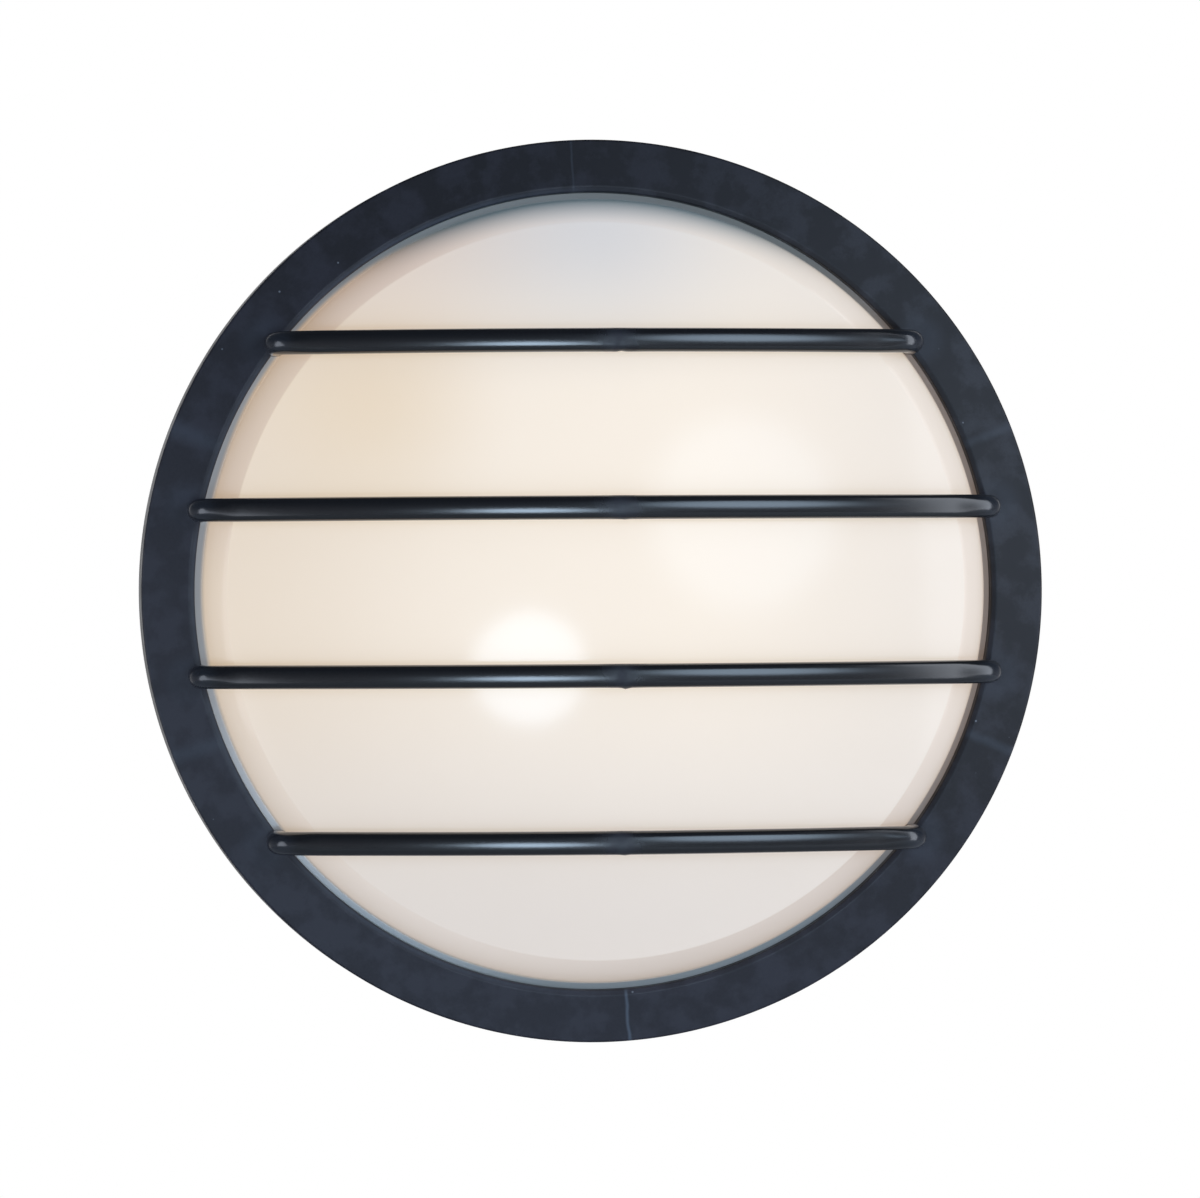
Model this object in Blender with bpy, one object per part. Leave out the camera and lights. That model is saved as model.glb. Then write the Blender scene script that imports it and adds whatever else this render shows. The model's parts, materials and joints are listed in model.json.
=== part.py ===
"""Outdoor wall light: a round bulkhead with a domed opal lens behind a barred guard.

The wall is the plane Y = 0, the light faces -Y, +Z is up and +X is to the right seen from the front.
Profiles are written as (radius, depth) pairs, where depth is the distance in front of the wall.
The guard, its lens and the lens clips come off together with a short turn about the Y axis.
"""
import math

import bmesh
import bpy
from mathutils import Matrix, Vector

# General fits
FIT = 0.0003
EMBED = 0.0006
ROUND_STEPS = 48
SMALL_STEPS = 14
SCREW_STEPS = 8

# Guard ring and skirt
GUARD_R = 0.1300
FACE_WIDTH = 0.0152
FACE_RISE = 0.0030
GUARD_WALL = 0.0030
SKIRT_DEPTH = 0.0220
SKIRT_DRAFT = math.radians(3.0)
EDGE_ROUND = 0.0008
LIP_WIDTH = 0.0026
LIP_DEPTH = 0.0030
LIP_ROUND = 0.0020

# Guard bars
BAR_COUNT = 4
BAR_R = 0.0033
BAR_PITCH = 0.0474
BAR_SPHERE_R = 0.3000
BAR_RISE = 0.0130
BAR_FOOT_OUTSET = 0.0009
BAR_BEND_R = 0.0050
BAR_FLARE = 0.0007
BAR_SIDES = 8

# Lens
LENS_SPHERE_R = 0.3000
LENS_CREASE_RISE = 0.0120
LENS_REVEAL = 0.0019
LENS_SHOULDER = 0.0075
LENS_SHOULDER_START = math.radians(30.0)
LENS_SHOULDER_END = math.radians(85.0)
LENS_WALL = 0.0028
LENS_FLANGE = 0.0025
LENS_FLANGE_WIDTH = 0.0081
LENS_BAR_GAP = 0.0006

# Clips that hold the lens in the guard
CLIP_COUNT = 4
CLIP_GRIP = 0.0021
CLIP_THICK = 0.0008
CLIP_WIDTH = 0.0080
CLIP_EDGE = 0.0025
CLIP_BOSS_R = 0.0027
CLIP_SCREW_R = 0.0010
CLIP_SCREW_LENGTH = 0.0050

# Bayonet between guard and housing
LUG_COUNT = 4
LUG_FIRST = math.radians(45.0)
LUG_SPAN = math.radians(12.0)
LUG_THICK = 0.0030
LUG_INSET = 0.0009
LEDGE_THICK = 0.0030
LEDGE_PROUD = 0.0052
LEDGE_OVERRUN = math.radians(1.5)
STOP_SPAN = math.radians(2.4)
STOP_DEPTH = 0.0034
LUG_GAP = 0.0014
TURN_GAP = 0.0007

# Housing
HOUSING_DEPTH = 0.0540
HOUSING_WALL = 0.0030
HOUSING_DRAFT = math.radians(1.8)
RIM_LAND = 0.0014
RIM_DEPTH = 0.0040
GASKET_WIDTH = 0.0028
GASKET_SEAT = 0.0030
GASKET_PROUD = 0.0022
BACK_RECESS = 0.0050
BACK_WALL = 0.0030
REAR_RIM = 0.0085
REAR_LAND = 0.0025
WALL_GASKET_WIDTH = 0.0032
WALL_GASKET_SEAT = 0.0030
CENTRE_PAD_R = 0.0150
RIB_COUNT = 8
RIB_WIDTH = 0.0020
RIB_SET_BACK = 0.0008
WALL_FIXING_R = 0.1000
WALL_FIXING_BOSS_R = 0.0062
WALL_FIXING_BOSS_RISE = 0.0030
WALL_FIXING_HOLE_R = 0.0026

# Cable entry
ENTRY_X = 0.0400
ENTRY_INSET = 0.0280
ENTRY_HOLE_R = 0.0070
GROMMET_BORE_R = 0.0045
GROMMET_FLANGE_R = 0.0096
GROMMET_FLANGE = 0.0019

# Gear tray
TRAY_STAND = 0.0060
TRAY_THICK = 0.0010
TRAY_R = 0.0900
TRAY_SLOPE = 0.0120
TRAY_RISE = 0.0060
TRAY_ENTRY_R = 0.0110
PILLAR_R = 0.0045
PILLAR_INSET = 0.0080
PILLAR_ANGLES = (math.radians(90.0), math.radians(200.0))
PILLAR_ASIDE = 0.0070

# Screws
SCREW_R = 0.0015
SCREW_HEAD_R = 0.0036
SCREW_HEAD = 0.0024
SCREW_LENGTH = 0.0065

# Lampholder and its bracket
LAMP_DEPTH = 0.0480
BRACKET_INSET = 0.0060
BRACKET_THICK = 0.0015
BRACKET_WIDTH = 0.0340
BRACKET_FOOT = 0.0280
BRACKET_BEND = 0.0025
BRACKET_OVER = 0.0180
BRACKET_SCREW_BACK = 0.0220
BRACKET_SCREW_Z = 0.0110
HOLDER_R = 0.0195
HOLDER_RIM_R = 0.0205
HOLDER_LENGTH = 0.0360
HOLDER_FLOOR = 0.0120
HOLDER_SCREW_Z = 0.0110
SHELL_THICK = 0.0006
SHELL_FLANGE = 0.0052
SHELL_LENGTH = 0.0214
CONTACT_THICK = 0.0005
CONTACT_WIDTH = 0.0050
CONTACT_SPAN = 0.0074
CONTACT_RISE = 0.0024

# Lamp
CAP_R = 0.0132
CAP_CLEARANCE = 0.0004
CAP_LENGTH = 0.0260
NECK_R = 0.0145
GLOBE_R = 0.0300
LAMP_LENGTH = 0.1080

# Terminal block, earth point and leads
BLOCK_X = -0.0100
BLOCK_INSET = 0.0200
BLOCK_WAYS = 3
BLOCK_PITCH = 0.0110
BLOCK_WIDTH = 0.0360
BLOCK_DEEP = 0.0160
BLOCK_HEIGHT = 0.0100
TURRET_R = 0.0031
TURRET_RISE = 0.0050
SLEEVE_R = 0.0026
SLEEVE_BORE_R = 0.0016
SLEEVE_LENGTH = 0.0120
SLEEVE_RISE = 0.0062
TERMINAL_SCREW_R = 0.0012
TERMINAL_SCREW_LENGTH = 0.0042
LEAD_R = 0.0011
LEAD_HOLE_R = 0.0015
LEAD_HOLDER_STEP = 0.0060
LEAD_STRIPPED_END = 0.0060
EARTH_ASIDE = 0.0360
EARTH_ABOVE = 0.0180
EARTH_TAG_RIM = 0.0012
EARTH_TAG_THICK = 0.0008
EARTH_BARREL_R = 0.0019
EARTH_BARREL_LENGTH = 0.0055
EARTH_WASHER_R = 0.0031

# Depths worked out from the wall outwards
FLANGE_REAR = HOUSING_DEPTH + GASKET_PROUD
FLANGE_FRONT = FLANGE_REAR + LENS_FLANGE
FACE_DEPTH = FLANGE_FRONT + FIT + LIP_DEPTH
SKIRT_REAR = FACE_DEPTH - SKIRT_DEPTH
BACK_FRONT = BACK_RECESS + BACK_WALL
TRAY_REAR = BACK_FRONT + TRAY_STAND
TRAY_FRONT = TRAY_REAR + TRAY_THICK
LUG_REAR = SKIRT_REAR + LUG_INSET
LUG_FRONT = LUG_REAR + LUG_THICK
LEDGE_REAR = LUG_FRONT + FIT
LEDGE_FRONT = LEDGE_REAR + LEDGE_THICK

# Places on the tray worked out from its rim
TRAY_FLAT_R = TRAY_R - TRAY_SLOPE
PILLAR_RADIUS = TRAY_FLAT_R - PILLAR_INSET
BRACKET_X = TRAY_FLAT_R - BRACKET_INSET
BRACKET_SCREW_X = BRACKET_X - BRACKET_SCREW_BACK
ENTRY_Z = ENTRY_INSET - TRAY_FLAT_R
BLOCK_Z = BLOCK_INSET - TRAY_FLAT_R
EARTH_X = BLOCK_X - EARTH_ASIDE
EARTH_Z = BLOCK_Z + EARTH_ABOVE

# Radii worked out from the guard inwards
OPENING_R = GUARD_R - FACE_WIDTH
LENS_WALL_R = OPENING_R - LENS_REVEAL
LENS_CREASE_R = LENS_WALL_R - LENS_SHOULDER
FLANGE_R = LENS_WALL_R + LENS_FLANGE_WIDTH
CLIP_BOSS_CENTRE = FLANGE_R + FIT + CLIP_BOSS_R
CLIP_INNER = FLANGE_R - CLIP_GRIP
RIM_R = CLIP_INNER - TURN_GAP
BAR_FOOT_R = OPENING_R + BAR_FOOT_OUTSET
HOLDER_BASE_X = BRACKET_X - BRACKET_THICK - FIT
SHELL_BORE_R = CAP_R + CAP_CLEARANCE
HOLDER_BORE_R = SHELL_BORE_R + SHELL_THICK + FIT
EARTH_TAG_R = EARTH_WASHER_R + EARTH_TAG_RIM
PITCH_HEAD_R = BLOCK_PITCH / 2 - TURRET_R - FIT
LAMP_TIP_X = HOLDER_BASE_X - HOLDER_FLOOR - FIT - CONTACT_THICK - CONTACT_RISE - FIT


def material(name, colour, roughness, metallic=0.0):
    """Makes a plain Principled material."""
    made = bpy.data.materials.new(name)
    made.use_nodes = True
    shader = made.node_tree.nodes["Principled BSDF"]
    shader.inputs["Base Color"].default_value = (*colour, 1.0)
    shader.inputs["Roughness"].default_value = roughness
    shader.inputs["Metallic"].default_value = metallic
    return made


def at(x, depth, z):
    """A point in the world from its place across, its distance from the wall and its height."""
    return Vector((x, -depth, z))


def polar(radius, angle, depth):
    """A point on a circle round the light's axis, with the angle counted from +X towards +Z."""
    return at(radius * math.cos(angle), depth, radius * math.sin(angle))


def to_mesh(bm, name):
    """Turns a bmesh into a smooth-shaded mesh with its faces pointing out."""
    bmesh.ops.recalc_face_normals(bm, faces=bm.faces)
    mesh = bpy.data.meshes.new(name)
    bm.to_mesh(mesh)
    bm.free()
    mesh.shade_smooth()
    mesh.set_sharp_from_angle(angle=math.radians(32.0))
    return mesh


def place(name, mesh, finish=None, location=(0, 0, 0), turn=(0, 0, 0)):
    """Links an object that shows a mesh, with its own copy of a finish."""
    made = bpy.data.objects.new(name, mesh)
    made.location = location
    made.rotation_euler = turn
    bpy.context.scene.collection.objects.link(made)
    if finish is not None and not mesh.materials:
        mesh.materials.append(material(name, *finish))
    return made


def tool(name, mesh):
    """Links a body that only shapes another: the build and the render leave it out."""
    made = place(name, mesh)
    made.hide_render = True
    made.display_type = "WIRE"
    return made


def shape(obj, operation, other):
    """Adds an exact Boolean to an object: UNION joins another body to it, DIFFERENCE cuts it away."""
    step = obj.modifiers.new(other.name, "BOOLEAN")
    step.operation = operation
    step.solver = "EXACT"
    step.object = other


def finished_mesh(obj, name):
    """The mesh of an object with its modifiers carried out, so that copies of a piece can share it."""
    bpy.context.view_layer.update()
    graph = bpy.context.evaluated_depsgraph_get()
    mesh = bpy.data.meshes.new_from_object(obj.evaluated_get(graph))
    mesh.name = name
    mesh.shade_smooth()
    mesh.set_sharp_from_angle(angle=math.radians(32.0))
    bpy.data.objects.remove(obj)
    return mesh


def add_turned(bm, outline, steps, move=Matrix.Identity(4)):
    """Spins a closed outline of (radius, depth) points round the Y axis, then moves the body."""
    corners = [bm.verts.new((radius, -depth, 0.0)) for radius, depth in outline]
    edges = []
    for here, there in zip(corners, corners[1:] + corners[:1]):
        if here.co.x > 0.0 or there.co.x > 0.0:
            edges.append(bm.edges.new((here, there)))
    spun = bmesh.ops.spin(
        bm, geom=corners + edges, cent=(0, 0, 0), axis=(0, 1, 0), angle=2 * math.pi, steps=steps,
        use_merge=True,
    )
    body = list({*corners, *spun["geom_last"]} & set(bm.verts))
    found = connected(body)
    bmesh.ops.remove_doubles(bm, verts=found, dist=1e-6)
    found = [v for v in found if v.is_valid]
    bmesh.ops.transform(bm, matrix=move, verts=found)


def connected(start):
    """All vertices that edges join to the given ones."""
    seen = {v for v in start if hasattr(v, "link_edges")}
    front = list(seen)
    while front:
        vertex = front.pop()
        for edge in vertex.link_edges:
            other = edge.other_vert(vertex)
            if other not in seen:
                seen.add(other)
                front.append(other)
    return list(seen)


def turned(name, outline, steps):
    """One turned body as a mesh."""
    bm = bmesh.new()
    add_turned(bm, outline, steps)
    return to_mesh(bm, name)


def add_cylinder(bm, radius, rear, front, centre, steps=SMALL_STEPS):
    """A plain cylinder along Y from one depth to another, centred on (x, z)."""
    outline = [(0.0, rear), (radius, rear), (radius, front), (0.0, front)]
    add_turned(bm, outline, steps, Matrix.Translation((centre[0], 0.0, centre[1])))


def add_block(bm, low, high, turn=0.0):
    """A box between two corners given as (x, depth, z), turned about the light's axis."""
    made = bmesh.ops.create_cube(bm, size=1.0)["verts"]
    a, b = at(*low), at(*high)
    size = [abs(q - p) for p, q in zip(a, b)]
    bmesh.ops.scale(bm, vec=size, verts=made)
    bmesh.ops.translate(bm, vec=(a + b) / 2, verts=made)
    bmesh.ops.rotate(bm, cent=(0, 0, 0), matrix=Matrix.Rotation(-turn, 3, "Y"), verts=made)
    return made


def add_sector(bm, inner, outer, rear, front, start, end):
    """A piece of a ring with a rectangular section, between two angles."""
    steps = max(2, round((end - start) / math.radians(360.0 / ROUND_STEPS)))
    rings = []
    for step in range(steps + 1):
        angle = start + (end - start) * step / steps
        section = [(inner, rear), (outer, rear), (outer, front), (inner, front)]
        rings.append([bm.verts.new(polar(radius, angle, depth)) for radius, depth in section])
    for here, there in zip(rings, rings[1:]):
        for side in range(4):
            following = (side + 1) % 4
            bm.faces.new((here[side], here[following], there[following], there[side]))
    bm.faces.new(rings[0])
    bm.faces.new(rings[-1])


def arc(centre, radius, start, end, steps):
    """Points on an arc in a profile, with the angle counted from the outward radius towards the front."""
    found = []
    for step in range(steps + 1):
        angle = start + (end - start) * step / steps
        found.append((centre[0] + radius * math.cos(angle), centre[1] + radius * math.sin(angle)))
    return found


def skirt_radius(depth):
    """Outer radius of the guard's skirt, which widens towards the wall."""
    return GUARD_R + (FACE_DEPTH - depth) * math.tan(SKIRT_DRAFT)


def face_depth(radius):
    """Depth of the guard's conical face at a radius."""
    return FACE_DEPTH + FACE_RISE * (GUARD_R - radius) / FACE_WIDTH


def guard_ring_outline():
    """Section of the ring: a conical face, a rounded inner lip that bears on the lens, and a skirt."""
    slope = math.atan2(FACE_RISE, FACE_WIDTH)
    lip_centre_r = OPENING_R + LIP_ROUND
    lip_centre_d = face_depth(lip_centre_r) - LIP_ROUND / math.cos(slope)
    lip = arc((lip_centre_r, lip_centre_d), LIP_ROUND, math.pi / 2 - slope, math.pi, 3)
    edge_r = GUARD_R - EDGE_ROUND
    rear_drop = GUARD_WALL / math.cos(slope)
    web_start = OPENING_R + LIP_WIDTH
    web_end = GUARD_R - GUARD_WALL - EDGE_ROUND
    return [
        (skirt_radius(SKIRT_REAR), SKIRT_REAR),
        (GUARD_R, FACE_DEPTH - EDGE_ROUND),
        (GUARD_R - EDGE_ROUND * 0.3, FACE_DEPTH - EDGE_ROUND * 0.2),
        (edge_r, face_depth(edge_r)),
        *lip,
        (OPENING_R, FLANGE_FRONT + FIT),
        (web_start, FLANGE_FRONT + FIT),
        (web_start, face_depth(web_start) - rear_drop),
        (web_end, face_depth(web_end) - rear_drop),
        (GUARD_R - GUARD_WALL, FACE_DEPTH - GUARD_WALL - EDGE_ROUND),
        (skirt_radius(SKIRT_REAR) - GUARD_WALL, SKIRT_REAR),
    ]


def bar_path(z):
    """Stations (x, depth, swell) along one bar: up from its foot, round the bend and over the dome.

    The bar's middle is the circle that its plane cuts from the guard's sphere.
    """
    foot_x = math.sqrt(BAR_FOOT_R ** 2 - z ** 2)
    dome_r = math.sqrt(BAR_SPHERE_R ** 2 - z ** 2)
    dome_centre = FACE_DEPTH + BAR_RISE - math.sqrt(BAR_SPHERE_R ** 2 - BAR_FOOT_R ** 2)
    bend_x = foot_x - BAR_BEND_R
    bend_depth = dome_centre + math.sqrt((dome_r - BAR_BEND_R) ** 2 - bend_x ** 2)
    lean = math.asin(bend_x / (dome_r - BAR_BEND_R))
    face = face_depth(BAR_FOOT_R + BAR_R)
    half = [
        (foot_x, face - GUARD_WALL / 2, BAR_FLARE),
        (foot_x, face, BAR_FLARE),
        (foot_x, face + BAR_FLARE, BAR_FLARE * 0.3),
        (foot_x, face + BAR_FLARE * 2.2, 0.0),
    ]
    for x, depth in arc((bend_x, bend_depth), BAR_BEND_R, 0.0, math.pi / 2 - lean, 3):
        half.append((x, depth, 0.0))
    dome_steps = 8
    over = []
    for step in range(1, dome_steps):
        angle = lean - 2 * lean * step / dome_steps
        over.append((dome_r * math.sin(angle), dome_centre + dome_r * math.cos(angle), 0.0))
    return half + over + [(-x, depth, swell) for x, depth, swell in reversed(half)]


def add_bar(bm, z):
    """One round bar carried along its path, closed at both feet."""
    path = bar_path(z)
    rings = []
    for index, (x, depth, swell) in enumerate(path):
        before = path[max(index - 1, 0)]
        after = path[min(index + 1, len(path) - 1)]
        along = Vector((after[0] - before[0], after[1] - before[1])).normalized()
        across = Vector((along.y, -along.x))
        ring = []
        for side in range(BAR_SIDES):
            angle = 2 * math.pi * side / BAR_SIDES
            out = (BAR_R + swell) * math.cos(angle)
            up = (BAR_R + swell) * math.sin(angle)
            ring.append(bm.verts.new(at(x + across.x * out, depth + across.y * out, z + up)))
        rings.append(ring)
    for here, there in zip(rings, rings[1:]):
        for side in range(BAR_SIDES):
            following = (side + 1) % BAR_SIDES
            bm.faces.new((here[side], here[following], there[following], there[side]))
    bm.faces.new(rings[0])
    bm.faces.new(rings[-1])


def clip_angles():
    """Where the lens clips stand round the guard."""
    return [2 * math.pi * number / CLIP_COUNT for number in range(CLIP_COUNT)]


def lug_angles():
    """Middle angles of the guard's bayonet lugs when it is locked."""
    return [LUG_FIRST + 2 * math.pi * number / LUG_COUNT for number in range(LUG_COUNT)]


def lens_outer(offset, dome_steps=5, shoulder_steps=3):
    """Front outline of the lens from the axis out to its flange, moved out by an offset.

    A sphere reaches the crease, and an arc turns from there into the steep side wall.
    """
    crease_depth = FACE_DEPTH + LENS_CREASE_RISE
    dome_centre = crease_depth - math.sqrt(LENS_SPHERE_R ** 2 - LENS_CREASE_R ** 2)
    lean = math.asin(LENS_CREASE_R / LENS_SPHERE_R)
    dome = []
    for step in range(dome_steps):
        angle = lean * step / dome_steps
        reach = LENS_SPHERE_R + offset
        dome.append((reach * math.sin(angle), dome_centre + reach * math.cos(angle)))
    spread = math.sin(LENS_SHOULDER_END) - math.sin(LENS_SHOULDER_START)
    shoulder_r = LENS_SHOULDER / spread
    centre = (
        LENS_CREASE_R - shoulder_r * math.sin(LENS_SHOULDER_START),
        crease_depth - shoulder_r * math.cos(LENS_SHOULDER_START),
    )
    start = math.pi / 2 - LENS_SHOULDER_START
    end = math.pi / 2 - LENS_SHOULDER_END
    shoulder = arc(centre, shoulder_r + offset, start, end, shoulder_steps)
    return dome + shoulder


def lens_outline():
    """Section of the lens: an even wall under the dome and shoulder, with a flat flange at its rim."""
    outer = lens_outer(0.0)
    inner = lens_outer(-LENS_WALL, 4, 2)
    return [
        *outer,
        (LENS_WALL_R, FLANGE_FRONT),
        (FLANGE_R, FLANGE_FRONT),
        (FLANGE_R, FLANGE_REAR),
        (LENS_WALL_R - LENS_WALL, FLANGE_REAR),
        *reversed(inner),
    ]


def build_guard():
    """The guard: ring, skirt, bars, bayonet lugs and clip bosses, moulded as one piece."""
    guard = place("guard_frame", turned("guard_frame", guard_ring_outline(), ROUND_STEPS), BLACK)

    bm = bmesh.new()
    for number in range(BAR_COUNT):
        add_bar(bm, (number - (BAR_COUNT - 1) / 2) * BAR_PITCH)
    shape(guard, "UNION", tool("guard_bars", to_mesh(bm, "guard_bars")))

    bm = bmesh.new()
    for middle in lug_angles():
        add_sector(
            bm, RIM_R + LUG_GAP, skirt_radius(LUG_FRONT) - GUARD_WALL / 2, LUG_REAR, LUG_FRONT,
            middle - LUG_SPAN / 2, middle + LUG_SPAN / 2,
        )
    shape(guard, "UNION", tool("guard_lugs", to_mesh(bm, "guard_lugs")))

    bm = bmesh.new()
    boss_root = face_depth(CLIP_BOSS_CENTRE) - GUARD_WALL / 2
    for angle in clip_angles():
        centre = polar(CLIP_BOSS_CENTRE, angle, 0.0)
        add_cylinder(bm, CLIP_BOSS_R, FLANGE_REAR, boss_root, (centre.x, centre.z), 12)
    shape(guard, "UNION", tool("clip_bosses", to_mesh(bm, "clip_bosses")))

    bm = bmesh.new()
    head_seat = FLANGE_REAR - FIT - CLIP_THICK - FIT
    pilot_end = head_seat + CLIP_SCREW_LENGTH + FIT
    for angle in clip_angles():
        centre = polar(CLIP_BOSS_CENTRE, angle, 0.0)
        start = FLANGE_REAR - EMBED
        add_cylinder(bm, CLIP_SCREW_R + FIT, start, pilot_end, (centre.x, centre.z), SCREW_STEPS)
    shape(guard, "DIFFERENCE", tool("clip_pilots", to_mesh(bm, "clip_pilots")))

    clear = lens_outer(LENS_BAR_GAP)
    floor = FLANGE_FRONT + FIT + EMBED
    outline = [*clear, (LENS_WALL_R + LENS_BAR_GAP, floor), (0.0, floor)]
    shape(guard, "DIFFERENCE", tool("lens_room", turned("lens_room", outline, ROUND_STEPS)))


def build_lens():
    """The opal lens and the gasket under its flange."""
    place("diffuser_lens", turned("diffuser_lens", lens_outline(), ROUND_STEPS), OPAL)
    outer = RIM_R - RIM_LAND - FIT
    inner = outer - GASKET_WIDTH
    seat = HOUSING_DEPTH - GASKET_SEAT + FIT
    top = FLANGE_REAR - FIT
    middle = (inner + outer) / 2
    outline = [
        (inner, seat), (outer, seat), (outer, HOUSING_DEPTH), (middle + GASKET_WIDTH / 5, top),
        (middle - GASKET_WIDTH / 5, top), (inner, HOUSING_DEPTH),
    ]
    place("lens_gasket", turned("lens_gasket", outline, ROUND_STEPS), RUBBER)


def screw_outline(radius, head_radius, head, length):
    """Section of a pan-head screw whose head stands on depth 0 and whose shank points at the wall."""
    tip = radius * 0.6
    return [
        (0.0, -length), (radius, tip - length), (radius, 0.0), (head_radius, 0.0),
        (head_radius, head * 0.45), (head_radius * 0.6, head), (0.0, head),
    ]


def build_clips():
    """Flat spring-steel clips that hold the lens flange, each with its screw."""
    reach = CLIP_BOSS_CENTRE + CLIP_EDGE - CLIP_INNER
    bm = bmesh.new()
    corners = add_block(
        bm, (CLIP_INNER - CLIP_BOSS_CENTRE, 0.0, -CLIP_WIDTH / 2),
        (CLIP_INNER - CLIP_BOSS_CENTRE + reach, CLIP_THICK, CLIP_WIDTH / 2),
    )
    upright = {e for v in corners for e in v.link_edges if abs(e.verts[0].co.y - e.verts[1].co.y) > FIT}
    bmesh.ops.bevel(bm, geom=list(upright), offset=0.0012, segments=2, affect="EDGES")
    blank = place("clip_blank", to_mesh(bm, "clip_blank"))
    bm = bmesh.new()
    add_cylinder(bm, CLIP_SCREW_R + FIT, -EMBED, CLIP_THICK + EMBED, (0.0, 0.0), SCREW_STEPS)
    shape(blank, "DIFFERENCE", tool("clip_hole", to_mesh(bm, "clip_hole")))
    plate = finished_mesh(blank, "lens_clip")
    head = CLIP_THICK * 2
    screw = turned(
        "lens_clip_screw", screw_outline(CLIP_SCREW_R, CLIP_BOSS_R - EMBED, head, CLIP_SCREW_LENGTH),
        SCREW_STEPS,
    )
    plate_depth = FLANGE_REAR - FIT - CLIP_THICK
    for number, angle in enumerate(clip_angles(), 1):
        spot = polar(CLIP_BOSS_CENTRE, angle, plate_depth)
        place(f"lens_clip_{number}", plate, STEEL, spot, (0, -angle, 0))
        seat = polar(CLIP_BOSS_CENTRE, angle, plate_depth - FIT)
        place(f"lens_clip_screw_{number}", screw, STEEL, seat, (math.pi, 0, 0))


def housing_radius(depth):
    """Outer radius of the housing, which narrows towards the wall."""
    return RIM_R - (HOUSING_DEPTH - depth) * math.tan(HOUSING_DRAFT)


def wall_gasket_radii():
    """Inner and outer radius of the groove for the wall gasket."""
    inner = housing_radius(0.0) - REAR_RIM + REAR_LAND
    return inner, inner + WALL_GASKET_WIDTH + 2 * FIT


def housing_outline():
    """Section of the pan: a wall rim with a gasket groove, a drafted side and a front rim with a groove."""
    rear = housing_radius(0.0)
    rear_edge = 0.0015
    groove_in, groove_out = wall_gasket_radii()
    seal_out = RIM_R - RIM_LAND
    seal_in = seal_out - GASKET_WIDTH - 2 * FIT
    rim_in = seal_in - RIM_LAND
    rim_foot = HOUSING_DEPTH - RIM_DEPTH
    step = housing_radius(rim_foot) - HOUSING_WALL - rim_in
    corner = 0.0030
    return [
        (0.0, 0.0),
        (CENTRE_PAD_R, 0.0),
        (CENTRE_PAD_R + 0.0005, BACK_RECESS),
        (rear - REAR_RIM - 0.0004, BACK_RECESS),
        (rear - REAR_RIM, 0.0),
        (groove_in, 0.0),
        (groove_in, WALL_GASKET_SEAT),
        (groove_out, WALL_GASKET_SEAT),
        (groove_out, 0.0),
        (rear - rear_edge, 0.0),
        (housing_radius(rear_edge), rear_edge),
        (RIM_R, HOUSING_DEPTH),
        (seal_out, HOUSING_DEPTH),
        (seal_out, HOUSING_DEPTH - GASKET_SEAT),
        (seal_in, HOUSING_DEPTH - GASKET_SEAT),
        (seal_in, HOUSING_DEPTH),
        (rim_in, HOUSING_DEPTH),
        (rim_in, rim_foot),
        (rim_in + step, rim_foot - step),
        (housing_radius(BACK_FRONT) - HOUSING_WALL, BACK_FRONT + corner),
        (housing_radius(BACK_FRONT) - HOUSING_WALL - corner, BACK_FRONT),
        (0.0, BACK_FRONT),
    ]


def fixing_spots():
    """Centres (x, z) of the four wall fixings."""
    found = [polar(WALL_FIXING_R, math.radians(45.0 + 90.0 * n), 0.0) for n in range(4)]
    return [(spot.x, spot.z) for spot in found]


def pillar_spots():
    """Centres (x, z) of the three pillars under the gear tray; the third stands beside the bracket."""
    found = [polar(PILLAR_RADIUS, angle, 0.0) for angle in PILLAR_ANGLES]
    low = -BRACKET_WIDTH / 2 - PILLAR_ASIDE
    return [*((spot.x, spot.z) for spot in found), (math.sqrt(PILLAR_RADIUS ** 2 - low ** 2), low)]


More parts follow.
